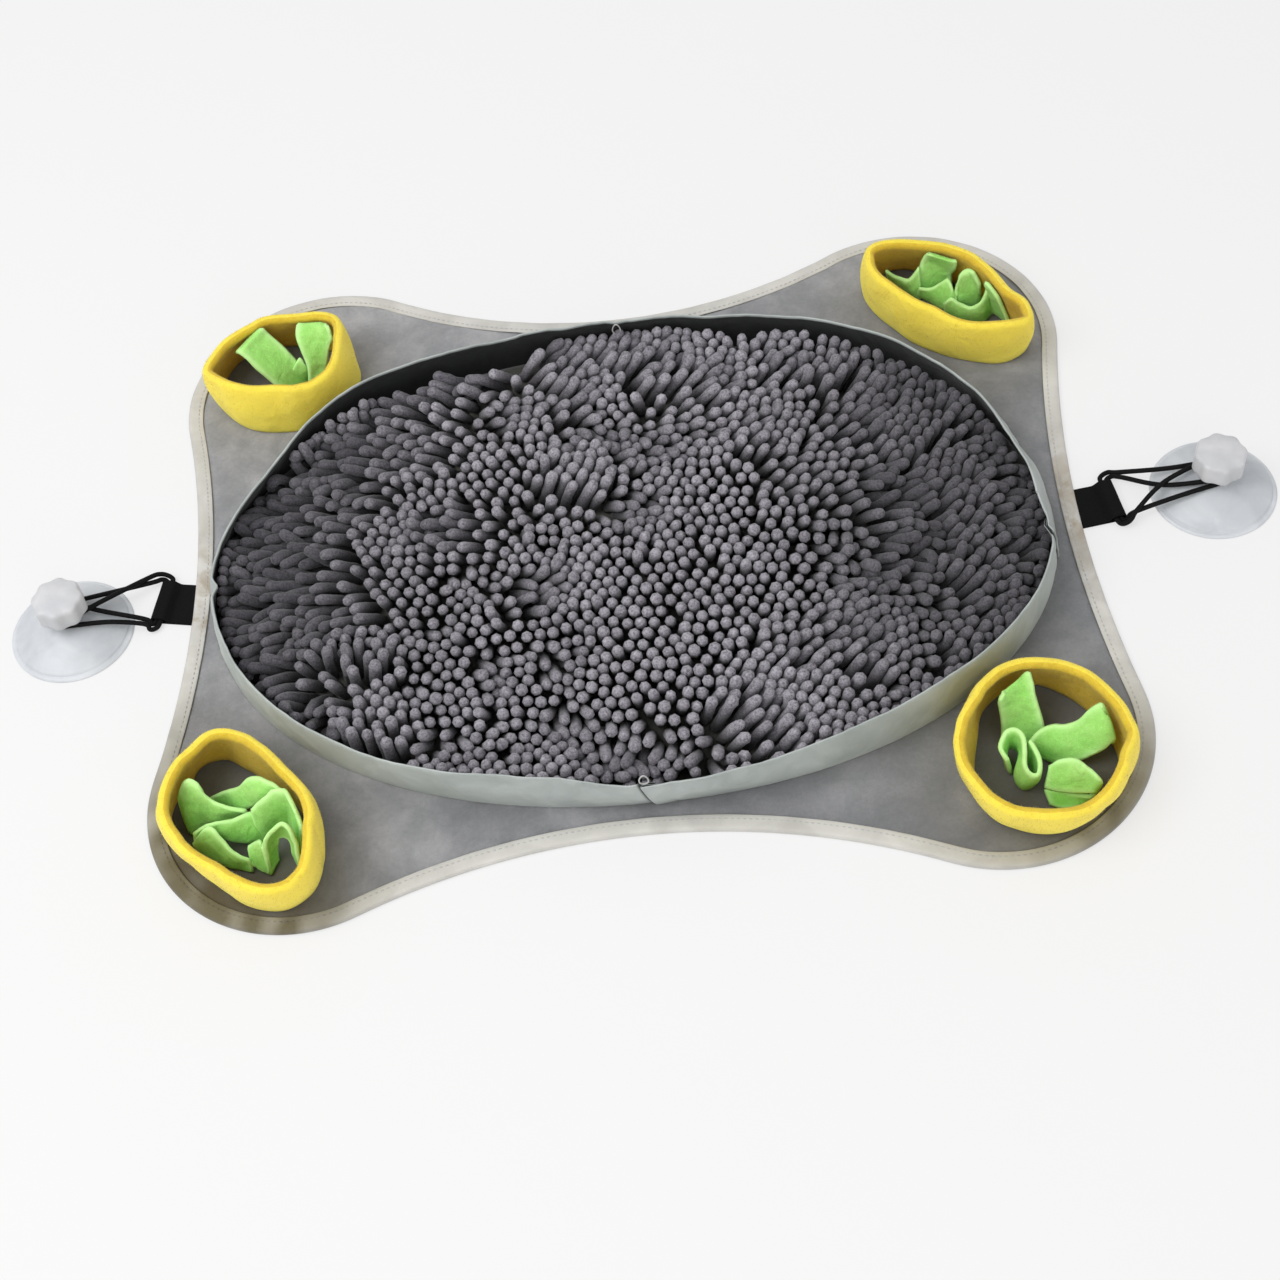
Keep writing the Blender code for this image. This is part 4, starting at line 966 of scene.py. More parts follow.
def make_binding():
    """Binding tape: a C with round folds carried round the outline, puckered a little by its stitches."""
    turns = np.radians(np.linspace(-90, 90, 7))
    fold = TAPE_TOP / 2
    outside = [(TAPE_WIDTH, 0.0), (TAPE_WIDTH * 0.6, 0.0)]
    outside += [(fold * 0.5 * (1 - np.cos(turn)), fold + fold * np.sin(turn)) for turn in turns]
    outside += [(TAPE_WIDTH * 0.35, TAPE_TOP + 0.1), (TAPE_WIDTH * 0.68, TAPE_TOP),
                (TAPE_WIDTH * 0.8, TAPE_TOP - 0.25), (TAPE_WIDTH, TAPE_TOP + 0.05)]
    line = outline(0.0)
    steps = np.linalg.norm(np.roll(line, -1, axis=0) - line, axis=1)
    run = np.cumsum(steps) - steps
    grid = []
    for inset, z in outside:
        pucker = 0.25 * np.sin(run / 4.7) * np.sin(run / 31.0) if z > fold else 0.0
        middle_z = np.interp(z, [0, TAPE_TOP], [TAPE / 2 + 0.05, TAPE_TOP - TAPE / 2]) + pucker * 0.6
        middle_in = inset if inset > TAPE else TAPE / 2 + inset
        grid.append(at_height(outline(middle_in), middle_z))
    grid = np.array(grid)
    marks = np.zeros(grid.shape[:2])
    for side in SIDES:
        spot = np.array([side.way * 286.0, side.root_y])
        marks = np.maximum(marks, np.exp(-(np.linalg.norm(grid[..., :2] - spot, axis=-1) / 45.0) ** 2))
    tape = sheet_piece("binding_tape", grid, TAPE, TAPE_CLOTH, wrap=True,
                       fields={"marks": marks * 0.8, "soiled": soiled(grid[..., :2])})
    settle(tape, "mat", "tape", "edge_binding")
    make_stitches("tape_stitches", outline(TAPE_WIDTH * 0.74), TAPE_TOP + 0.05)


def make_stitches(name, line, height):
    """A row of short sunk stitches along a closed plan line, with their middle at a height."""
    closed = np.vstack([line, line[:1]])
    run = np.concatenate([[0], np.cumsum(np.linalg.norm(np.diff(closed, axis=0), axis=1))])
    count = int(run[-1] / STITCH_PITCH)
    shares = np.array([-0.5, -0.3, 0.0, 0.3, 0.5])
    at = (np.arange(count) * run[-1] / count)[:, None] + shares * STITCH_LENGTH
    plan = np.stack([np.interp(at % run[-1], run, closed[:, i]) for i in (0, 1)], axis=-1)
    path = at_height(plan, height - 2.2 * STITCH_RADIUS * (2 * np.abs(shares)) ** 2)
    radii = STITCH_RADIUS * np.array([0.5, 0.95, 1.0, 0.95, 0.5])
    grid = tube_grid(path, np.broadcast_to(radii, path.shape[:2]), STITCH_SIDES, closed=False)
    begin, end = (path[:, [i], None].repeat(STITCH_SIDES, axis=2) for i in (0, -1))
    capped = np.concatenate([begin, grid, end], axis=1)
    piece = add_piece(name, capped, quads_of(capped.shape[:3], False, True), PALE_THREAD, weld=0.001,
                      fields={"soiled": soiled(capped[..., :2])})
    return settle(piece, "mat", "thread")


# ---- oval wall

def oval_radius(oval, angles):
    """Radius of the superellipse whose power is 2 for an ellipse and more for a squarer oval."""
    cosine = np.abs(np.cos(np.radians(angles))) / oval.long
    sine = np.abs(np.sin(np.radians(angles))) / oval.short
    return (cosine ** oval.power + sine ** oval.power) ** (-1 / oval.power)


def eased(knot_angles, values, angles):
    """Values between the knots round a circle, each span eased by a smooth step."""
    knots = np.array(knot_angles, float)
    values = np.array(values, float)
    turned = (np.asarray(angles, float) - knots[0]) % 360
    spans = np.append(knots, knots[0] + 360) - knots[0]
    segment = np.clip(np.searchsorted(spans, turned, side="right") - 1, 0, len(knots) - 1)
    share = (turned - spans[segment]) / (spans[segment + 1] - spans[segment])
    ease = share * share * (3 - 2 * share)
    return values[segment] * (1 - ease) + values[(segment + 1) % len(knots)] * ease


def wall_line(angles, share, offset=0.0, darts=True):
    """The wall's plan line at a share of its height, moved outwards by offset.

    It runs straight from the foot oval to the waved rim oval, bowed out by a half sine, and is pinched in
    at the darts, more towards the rim.
    """
    angles, share = np.broadcast_arrays(np.asarray(angles, float), share)
    way = heading_vector(angles)
    foot = np.array([WALL_FOOT.x, WALL_FOOT.y]) + way * oval_radius(WALL_FOOT, angles)[..., None]
    rim_radius = oval_radius(WALL_RIM, angles) + eased(*zip(*WALL_WAVES), angles)
    rim = np.array([WALL_RIM.x, WALL_RIM.y]) + way * rim_radius[..., None]
    out = offset + WALL_BULGE * np.sin(np.pi * share)
    if darts:
        for dart in WALL_DARTS:
            turn = (angles - dart.angle + 180) % 360 - 180
            away = np.abs(np.radians(turn)) * rim_radius
            out = out - dart.depth * share * np.clip(1 - away / dart.half_width, 0, 1) ** 1.3
    return foot + (rim - foot) * share[..., None] + way * out[..., None]


def wall_columns():
    """Angle, offset, slant, thickness and painted shadow of the wall's columns, closer at each pleat."""
    columns = np.tile([0.0, 0.0, 0.0, 1.0, 0.0], (WALL_COLUMNS, 1))
    columns[:, 0] = np.arange(WALL_COLUMNS) * (360 / WALL_COLUMNS)
    reach = PLEAT_LINE[-1].along
    for pleat in WALL_PLEATS:
        radius = np.linalg.norm(wall_line([pleat.angle], 1.0)[0])
        along, out, thick, dark = curve([[*turn] for turn in PLEAT_LINE], 80).T
        slant = pleat.slant * np.clip((reach - np.abs(along)) / (reach / 2), 0, 1)
        angle = pleat.angle + np.degrees(along / radius)
        line = np.stack([angle, out, np.degrees(slant / radius), thick, np.clip(dark, 0, 1)], axis=1)
        clear = np.degrees(reach / radius) + 0.2
        before = columns[columns[:, 0] < pleat.angle - clear]
        after = columns[columns[:, 0] > pleat.angle + clear]
        columns = np.vstack([before, line, after])
    return columns.T


def make_wall():
    """Doubled cloth band with its fold at the top, softly creased, uneven at the rim and pleated twice."""
    rise = WALL_TOP - FOOT
    shares, thick = np.array(WALL_LEVELS).T
    angles, offsets, slants, widths, dark = wall_columns()
    share = np.broadcast_to(shares[:, None], (len(shares), len(angles)))
    angle = angles + slants * (1 - share)
    plan = wall_line(angle, share, offsets * (0.8 + 0.2 * share))
    run = np.radians(angle) * WALL_MEAN_RADIUS
    creases = drift(np.stack([run, 12.0 * share], axis=-1), 38.0, 21) * 0.8
    creases += drift(np.stack([run, 25.0 * share], axis=-1), 14.0, 22) * 0.35
    plan = plan + heading_vector(angle) * (creases * np.sin(np.pi * np.clip(share, 0.04, 0.9)))[..., None]
    top = 0.7 * drift(run[..., None], 60.0, 23)
    grid = at_height(plan, FOOT + rise * share + np.clip(top, -1.2, 0.4) * share)
    # painted shade over the inner face below the top of the fold, and painted shadow along each pleat from
    # its columns
    inside = np.clip((0.985 - shares[:, None]) / 0.03, 0, 1)
    thick = WALL_THICK * thick[:, None] * widths
    piece = sheet_piece("wall_band", grid, thick, WALL_CLOTH, wrap=True, round_edge=0.35,
                        fields={"inside": (dark, inside)})
    settle(piece, "mat", "wall_cloth", "fence_wall")


def make_dart_loops():
    """Thread loops at the front and back darts: the front one stands on the rim, the back one hangs."""
    turns = np.arange(LOOP_STEPS) * 2 * np.pi / LOOP_STEPS
    clear = GAP + LOOP_THREAD / 2
    places = (
        ("front", WALL_DARTS[2], 1.0, 0.5, WALL_TOP + clear + 0.2 + LOOP_LONG),
        ("back", WALL_DARTS[0], 0.96, -clear - WALL_THICK / 2, WALL_TOP - 1.0 - LOOP_LONG),
    )
    for name, dart, share, offset, middle_z in places:
        spot = wall_line([dart.angle], share, offset)[0]
        way = heading_vector(dart.angle + 90)
        plan = spot + np.outer(LOOP_SHORT * np.sin(turns) * (1 - 0.25 * np.cos(turns)), way)
        path = np.column_stack([plan, middle_z + LOOP_LONG * np.cos(turns)])
        along = unit(np.roll(path, -1, axis=0) - np.roll(path, 1, axis=0))
        side = np.broadcast_to(np.append(heading_vector(dart.angle), 0.0), along.shape)
        top = np.cross(side, along)
        round_way = np.arange(LOOP_SIDES) * 2 * np.pi / LOOP_SIDES
        grid = (path[:, None] + LOOP_THREAD / 2 * (np.cos(round_way)[:, None] * side[:, None]
                                                   + np.sin(round_way)[:, None] * top[:, None]))
        shape = (1, LOOP_STEPS, LOOP_SIDES)
        piece = add_piece("thread_loop_" + name, grid, quads_of(shape, True, True), PALE_THREAD,
                          quad_uvs(shape, True, True, (24, 2.8)))
        settle(piece, "mat", "thread", "dart_loop_" + name)


# ---- chenille pile

def near_pairs(points, reach):
    """All pairs of points closer than reach, found by sorting them into cells of that size."""
    cells = np.floor(points / reach).astype(np.int64)
    cells -= cells.min(axis=0) - 1
    spans = cells.max(axis=0) + 2
    keys = (cells[:, 0] * spans[1] + cells[:, 1]) * spans[2] + cells[:, 2]
    order = np.argsort(keys, kind="stable")
    ordered = keys[order]
    firsts, seconds = [], []
    cube = [(x, y, z) for x in (-1, 0, 1) for y in (-1, 0, 1) for z in (-1, 0, 1)]
    steps = [step for step in cube if step >= (0, 0, 0)]
    for x, y, z in steps:
        aim = keys + (x * spans[1] + y) * spans[2] + z
        begin, end = np.searchsorted(ordered, aim), np.searchsorted(ordered, aim, side="right")
        for skip in range(int((end - begin).max(initial=0))):
            here = np.flatnonzero(begin + skip < end)
            there = order[begin[here] + skip]
            keep = (here < there) if (x, y, z) == (0, 0, 0) else np.ones(len(here), bool)
            firsts.append(here[keep])
            seconds.append(there[keep])
    first, second = np.concatenate(firsts), np.concatenate(seconds)
    close = np.sum((points[first] - points[second]) ** 2, axis=1) < reach ** 2
    return first[close], second[close]


def patch_leans():
    """Plan place, heading and tilt of each patch.

    Of all headings a step apart, the one is taken whose leaning finger is seen to point most nearly the
    way read: the cosine of the angle between them, and a share of the length that the camera sees.
    """
    right, up, _ = camera_axes()
    read = np.array(PATCHES, float)
    headings = np.arange(0.0, 360.0, HEADING_STEP)
    tilt = np.radians(read[:, 3:])
    finger = at_height(np.sin(tilt)[..., None] * heading_vector(headings), np.cos(tilt))
    seen = np.stack([finger @ right, finger @ up], axis=-1)
    length = np.linalg.norm(seen, axis=-1)
    likeness = np.sum(seen * heading_vector(read[:, 2])[:, None], axis=-1) / length
    best = headings[np.argmax(likeness + NEARER * length, axis=1)]
    return np.column_stack([seen_at(read[:, :2], PATCH_HEIGHT), best, read[:, 3]])


def settle_fingers():
    """Beads of every finger, (fingers, beads, 3).

    Roots stand on a shaken lattice. Each finger leans the way of its patch, and then the beads push each
    other apart, keep their spacing along a finger and stay over the felt and inside the wall.
    """
    draw = np.random.default_rng(7)
    rows = np.arange(-30, 31)
    columns = np.arange(-34, 35)
    column, row = np.meshgrid(columns, rows)
    staggered = (column + 0.5 * (row % 2)) * FINGER_PITCH
    roots = np.stack([staggered, row * FINGER_PITCH * np.sqrt(0.75)], axis=-1).reshape(-1, 2)
    roots += draw.uniform(-ROOT_SHAKE, ROOT_SHAKE, roots.shape)
    centre = np.array([WALL_FOOT.x, WALL_FOOT.y])
    roots += centre

    def room(plan, share):
        away = plan - centre
        turn = np.degrees(np.arctan2(away[..., 1], away[..., 0]))
        inside = -WALL_THICK / 2 - 0.8 - FINGER_RADIUS - eased(*zip(*PILE_EDGE), turn)
        line = wall_line(turn, share, inside, darts=False)
        return np.linalg.norm(line - centre, axis=-1), np.linalg.norm(away, axis=-1)

    patches = np.vstack([patch_leans(), UPRIGHT])
    away = np.linalg.norm(roots[:, None] - patches[None, :, :2], axis=-1) / PATCH_SPREAD
    away[:, -1] = np.interp(np.abs(roots[:, 0]), [120, 170], [1.5, 2.2])
    weights = np.exp(-away ** 2)
    lean = weights @ (heading_vector(patches[:, 2]) * patches[:, 3:]) / weights.sum(axis=1, keepdims=True)
    laid = np.clip((np.linalg.norm(lean, axis=1) - 36) / 26, 0, 1)
    outwards = np.clip(np.sum(unit(lean) * unit(roots - centre), axis=1), 0, 1)
    limit, out = room(roots, 0.1)
    rooted = out < limit - LYING_REACH * laid * outwards
    roots, lean, laid = roots[rooted], lean[rooted], laid[rooted]
    lean += draw.normal(0, 1.0, roots.shape) * (2.5 + 4.5 * laid)[:, None]
    wander = np.stack([drift(roots, 50.0, seed) for seed in (31, 32)], axis=-1)
    lean += wander * (4.0 + 4.0 * laid)[:, None]
    amount = np.linalg.norm(lean, axis=1)
    tilt = np.radians(amount)[:, None] * np.linspace(0.5, 1.2, BEADS - 1)
    heading = np.degrees(np.arctan2(lean[:, 1], lean[:, 0]))[:, None]
    bend = draw.normal(0, 1.0, (len(roots), 1)) * (6.0 + 12.0 * laid)[:, None]
    heading = heading + bend * np.linspace(-0.2, 1.2, BEADS - 1)
    steps = at_height(np.sin(tilt)[..., None] * heading_vector(heading), np.cos(tilt))
    length = BEAD_STEP * (draw.uniform(0.88, 1.08, len(roots)) + 0.2 * laid)[:, None, None]
    start = at_height(roots, LOWEST_BEAD)[:, None]
    beads = np.concatenate([start, start + np.cumsum(steps * length, axis=1)], axis=1)
    aim = beads.copy()
    count = len(roots)
    finger = np.repeat(np.arange(count), BEADS)
    spread = 0.2 * (1 - laid[:, None]) * np.linspace(0, 1, BEADS)
    size = FINGER_RADIUS * (0.93 + spread).ravel()
    weight = np.ones((count, BEADS))
    weight[:, 0] = 0.0
    weight[:, 1] = 0.4
    weight = weight.ravel()
    for turn in range(PUSHES):
        if turn % 3 == 0:
            first, second = near_pairs(beads.reshape(-1, 3), 2 * size.max() + 1.5)
            other = finger[first] != finger[second]
            first, second = first[other], second[other]
        flat = beads.reshape(-1, 3)
        apart = flat[first] - flat[second]
        distance = np.linalg.norm(apart, axis=1)
        press = np.clip(size[first] + size[second] - distance, 0, None)
        push = apart / np.maximum(distance, 0.1)[:, None] * (press * 0.4)[:, None]
        move = np.empty_like(flat)
        for axis in range(3):
            move[:, axis] = (np.bincount(first, push[:, axis], len(flat))
                             - np.bincount(second, push[:, axis], len(flat)))
        move = np.clip(move, -2.0, 2.0)
        beads = beads + (move * weight[:, None]).reshape(beads.shape)
        beads += (aim - beads) * (0.02 + 0.06 * laid)[:, None, None]
        beads[:, 1:, 2] -= 0.12
        middle = (beads[:, :-2] + beads[:, 2:]) / 2
        beads[:, 1:-1] += (middle - beads[:, 1:-1]) * 0.25
        beads[:, :1] = start
        for bead in range(1, BEADS):
            step = beads[:, bead] - beads[:, bead - 1]
            beads[:, bead] = beads[:, bead - 1] + unit(step) * length[:, 0]
        beads[..., 2] = np.maximum(beads[..., 2], LOWEST_BEAD)
        share = np.clip((beads[..., 2] - FOOT) / (WALL_TOP - FOOT), 0, 1)
        limit, out = room(beads[..., :2], share)
        pull = np.minimum(limit / np.maximum(out, 1.0), 1.0)
        beads[..., :2] = centre + (beads[..., :2] - centre) * pull[..., None]
    return beads, laid


def sunk(points, beads):
    """How far points lie under the pile's top: the highest bead of each plan cell, spread and smoothed."""
    cell = 5.0
    low = beads[..., :2].min(axis=(0, 1)) - 4 * cell
    spots = ((beads[..., :2] - low) / cell).round().astype(int).reshape(-1, 2)
    tops = np.zeros(spots.max(axis=0) + 5)
    np.maximum.at(tops, (spots[:, 0], spots[:, 1]), beads[..., 2].ravel())
    rounds = [(x, y) for x in (-1, 0, 1) for y in (-1, 0, 1)]
    tops = np.max([np.roll(tops, step, (0, 1)) for step in rounds], axis=0)
    for _ in range(2):
        tops = np.mean([np.roll(tops, step, (0, 1)) for step in rounds], axis=0)
    place = np.clip((points[..., :2] - low) / cell, 0, np.array(tops.shape) - 1.01)
    whole = place.astype(int)
    x, y = whole[..., 0], whole[..., 1]
    right, up = np.moveaxis(place - whole, -1, 0)
    near = tops[x, y] * (1 - up) + tops[x, y + 1] * up
    far = tops[x + 1, y] * (1 - up) + tops[x + 1, y + 1] * up
    return near * (1 - right) + far * right - points[..., 2]


def make_pile():
    """Chenille fingers: lumpy tubes with round tips along their settled beads, in four joined pieces."""
    beads, laid = settle_fingers()
    draw = np.random.default_rng(8)
    count = len(beads)
    samples = np.array([0.0, 1.0, 2.0, 3.2, 4.4, 5.6, 6.4, 7.0])
    start = np.minimum(samples.astype(int), BEADS - 2)
    share = (samples - start)[:, None]
    ahead = 2 * beads[:, :1] - beads[:, 1:2]
    behind = 2 * beads[:, -1:] - beads[:, -2:-1]
    ends = np.concatenate([ahead, beads, behind], axis=1)
    path = between(*(ends[:, start + i] for i in range(4)), share)
    tip_way = unit(path[:, -1:] - path[:, -2:-1])
    tip_turns = np.radians([38.0, 68.0, 89.0])
    tips = path[:, -1:] + tip_way * (FINGER_RADIUS * np.sin(tip_turns))[:, None]
    path = np.concatenate([path, tips], axis=1)
    body = FINGER_RADIUS * (1 + draw.normal(0, 0.05, (count, len(samples))))
    body *= draw.uniform(0.93, 1.07, (count, 1))
    radii = np.concatenate([body, body[:, -1:] * np.cos(tip_turns)], axis=1)
    grid = tube_grid(path, radii, FINGER_SIDES, closed=False)
    base = np.broadcast_to(path[:, :1, None], (count, 1, FINGER_SIDES, 3))
    grid = np.concatenate([base, grid], axis=1)
    # painted shade: darker deep under the pile's top and towards the roots, darker still at the left and
    # right, and lifted near the front and back
    reach = np.array([0.0, *samples, 7.4, 7.7, 7.9])[:, None] / 7.9
    root = (0.45 - 0.3 * laid)[:, None, None]
    along = np.clip(1 - sunk(grid, beads) / 20.0, 0, 1) ** 1.1 * (root + (1 - root) * reach)
    along *= np.interp(grid[..., 0], [-200, -90, 70, 190], [0.6, 1.0, 1.0, 0.38])
    along *= np.interp(np.abs(grid[..., 1] - WALL_FOOT.y), [80, 140], [1.0, 1.22])
    # brightness that differs at random per finger, with painted shade on lying fingers
    tone_and_painted_shade = 0.75 * (1 - 0.85 * laid) + draw.uniform(0, 0.25, count)
    tone_and_painted_shade = np.broadcast_to(tone_and_painted_shade[:, None, None], along.shape)
    left_to_right = np.argsort(beads[:, 0, 0], kind="stable")
    for number, picks in enumerate(np.array_split(left_to_right, PILE_PIECES), 1):
        part = grid[picks]
        quads = quads_of(part.shape[:3], False, True)
        piece = add_piece(f"chenille_fingers_{number}", part, quads, CHENILLE, weld=0.0005,
                          fields={"along": along[picks], "tone_and_painted_shade": tone_and_painted_shade[picks]})
        settle(piece, "mat", "chenille", "chenille_pile")


# ---- rings and strips

def make_ring(name, ring, seed):
    """Soft band of doubled fleece from its foot line to its rim line, bellied out and round on top."""
    rise = RING_TOP - FOOT
    half = RING_WALL / 2
    round_turns = np.radians([0, 20, 40, 58, 74, 86])
    straight = np.linspace(0, 1 - half / rise, 14)[:-1]
    levels = np.concatenate([straight, 1 - half / rise * (1 - np.sin(round_turns))])[:, None]
    thick = np.concatenate([np.full(len(straight), RING_WALL), RING_WALL * np.cos(round_turns)])
    thick[0] = RING_WALL - 1.5
    rim, foot = ring_lines(ring)
    plan = foot + (rim - foot) * levels[..., None]
    ground = at_height(plan, 14.0 * levels)
    broad, narrow = RING_CREASES
    creases = drift(ground, broad.pitch, seed) * broad.depth
    creases += drift(ground, narrow.pitch, seed + 1) * narrow.depth
    creases -= RING_FOLD.depth * np.clip(1 - np.abs(drift(ground, RING_FOLD.pitch, seed + 3)) / 0.5, 0, 1)
    out = RING_BELLY * np.sin(np.pi * levels) + creases * np.clip(levels * 4, 0, 1)
    plan = plan + unit(plan) * out[..., None] + np.array([ring.x, ring.y])
    sag = drift(plan, RING_SAG.pitch, seed + 2) * RING_SAG.depth - RING_MEAN_SAG
    grid = at_height(plan, FOOT + rise * levels + sag * levels)
    # painted shade on the outer face towards the foot; painted highlight along the rim and painted light
    # over the inner face, strongest low down
    shade = np.broadcast_to(np.clip((0.25 - levels) / 0.25, 0, 1) * 0.2, plan.shape[:2])
    painted_light = np.clip((levels - 0.92) / 0.08, 0, 1) * 0.15
    inner_painted_light = np.maximum(painted_light, 1.0 - 0.3 * levels)
    piece = sheet_piece("fleece_ring_" + name, grid, thick[:, None], YELLOW, wrap=True, round_edge=0.1,
                        fields={"painted_shade": (shade, 0.0), "painted_light": (painted_light, inner_painted_light)})
    settle(piece, "mat", "yellow_fleece", "ring_" + name)
    make_fuzz("ring_fuzz_" + name, grid, thick, levels[:, 0], seed + 4)


def make_fuzz(name, grid, thick, levels, seed):
    """Loose fibres on a ring: thin bent cones off both faces, upright near the rim.

    A root lies at a random share of the rows and columns, half the band's thickness off its middle.
    """
    draw = np.random.default_rng(seed)
    normal = unit(np.cross(np.roll(grid, -1, axis=1) - np.roll(grid, 1, axis=1), np.gradient(grid, axis=0)))
    row = draw.uniform(5.0, len(grid) - 1.01, FIBRES)
    column = draw.integers(0, grid.shape[1], FIBRES)
    below, share = row.astype(int), (row % 1)[:, None]
    middle = grid[below, column] * (1 - share) + grid[below + 1, column] * share
    out = normal[below, column] * draw.choice([-1.0, 1.0], FIBRES)[:, None]
    half = np.interp(row, np.arange(len(thick)), thick)[:, None] / 2
    upright = np.clip((np.interp(row, np.arange(len(levels)), levels)[:, None] - 0.92) / 0.08, 0, 1)
    stray = draw.normal(0, 0.45, (FIBRES, 3))
    way = unit(out * (1 - 0.8 * upright) + np.array([0.0, 0.0, 1.0]) * upright + stray)
    bent = unit(way + draw.normal(0, 0.6, (FIBRES, 3)))
    length = draw.uniform(*FIBRE_LENGTHS, (FIBRES, 1))
    root = middle + out * half
    tip = root + (way + bent) * length * 0.5
    path = np.stack([root - way * 0.3, root + way * length * 0.5, tip], axis=1)
    radii = np.broadcast_to(FIBRE_RADIUS * np.array([1.0, 0.8, 0.0]), path.shape[:2])
    cones = tube_grid(path, radii, 3, closed=False)
    cones = np.concatenate([path[:, :1, None].repeat(3, axis=2), cones], axis=1)
    piece = add_piece(name, cones, quads_of(cones.shape[:3], False, True), YELLOW, weld=0.001)
    settle(piece, "mat", "yellow_fleece")


def make_strip(name, ring, table, seed):
    """A fleece strip between the smooth curves of its two edges, cupped and wavy, set down in its ring."""
    read = np.array(table, float).reshape(-1, 2, 3)
    plan = seen_at(read[..., :2], read[..., 2]) - [ring.x, ring.y]
    rows = np.concatenate([plan, read[..., 2:]], axis=-1).reshape(-1, 6)
    rows = curve(np.vstack([rows, *HAND_ROWS.get(name, ())]), STRIP_ROWS)
    edge, other = rows[:, None, :3], rows[:, None, 3:]
    across = np.linspace(0, 1, STRIP_COLUMNS)[None, :, None]
    grid = edge + (other - edge) * across
    along = np.gradient(grid.mean(axis=1), axis=0)[:, None]
    face = unit(np.cross(along, other - edge))
    cup = STRIP_CUP * (4 * across * (1 - across) - 0.6)
    broad, narrow = STRIP_RIPPLES
    ripple = drift(grid, broad.pitch, seed) * broad.depth
    ripple += drift(grid, narrow.pitch, seed + 40) * narrow.depth
    count = np.arange(STRIP_ROWS)
    rows_in = np.minimum(count, count[::-1])[:, None]
    out = (cup + ripple[..., None]) * np.clip(rows_in / 8, 0, 1)[..., None]
    grid = grid + face * out + [ring.x, ring.y, 0.0]
    grid[..., 2] += FOOT + STRIP_THICK * 0.6 - grid[..., 2].min()
    level = np.clip((grid[..., 2] - FOOT) / (RING_TOP - FOOT), 0, 1)
    keep_in = RING_WALL / 2 + STRIP_THICK / 2 + 1.5
    share = ring_share(ring, grid[..., :2], level, keep_in)[..., None]
    middle = np.array([ring.x, ring.y])
    grid[..., :2] = middle + (grid[..., :2] - middle) / np.maximum(share, 1.0)
    # painted highlight along the cut edges and painted shade towards the bottom
    near_edge = np.minimum(np.minimum(across, 1 - across)[..., 0] * 20.0, rows_in * 1.4)
    painted_shade = np.clip((16.0 - grid[..., 2]) / 14.0, 0, 1) * 0.75
    piece = sheet_piece(f"fleece_{name}", grid, STRIP_THICK, GREEN, round_edge=0.45,
                        fields={"painted_shade": painted_shade, "painted_light": np.clip(1 - near_edge / 3.0, 0, 1)})
    settle(piece, "mat", "green_fleece", name)


# ---- tabs, elastics, cups and nuts

def mat_edge(side, y):
    """X of the mat's edge on that side, at y."""
    line = outline(0.0)
    line = line[line[:, 0] * side.way > 0]
    line = line[np.argsort(line[:, 1])]
    return np.interp(y, line[:, 1], line[:, 0])


def side_frame(side):
    """The tab's root, its outward way, the way across it and the middle of its tunnel, in plan."""
    root = np.array([mat_edge(side, side.root_y), side.root_y])
    out, across = heading_vector(side.heading), heading_vector(side.heading + 90)
    return root, out, across, root + out * (side.reach - TUNNEL_BACK)


def make_tab(side):
    """Webbing folded back over itself: two layers with a tunnel at the fold, cut to the mat's edge."""
    low, high = WEBBING / 2, 1.5 * WEBBING + GAP
    reach = side.reach - WEBBING / 2
    top = WEBBING * 1.5 + TUNNEL
    line = (
        (0.0, low), (reach * 0.5, low), (reach - 2.2, low), (reach - 0.4, 1.6), (reach, 3.0),
        (reach - 0.5, top - 1.0), (reach - 2.0, top), (reach - 7.4, top), (reach - 10.2, high + 1.4),
        (reach - 12.6, high), (reach * 0.3, high), (0.0, high),
    )
    path = curve(line, 60)
    root, out, across, _ = side_frame(side)
    width = np.linspace(-0.5, 0.5, 13) * TAB_WIDTH
    corner = root + across * width[:, None]
    begin = (mat_edge(side, corner[:, 1]) - side.way * 0.3 - corner[:, 0]) / out[0]
    share = np.clip(1 - path[:, :1] / 6.0, 0, 1)
    distance = path[:, :1] * (1 - share) + (begin + path[:, :1]) * share
    plan = corner[None] + out * distance[..., None]
    grid = at_height(plan, np.maximum(path[:, 1:2], low) + 0.08 * (1 + np.sin(width / 3.0)))
    piece = sheet_piece("webbing_tab_" + side.name, grid, WEBBING, WEBBING_CLOTH, round_edge=0.3)
    settle(piece, "mat", "webbing", "tab_" + side.name)


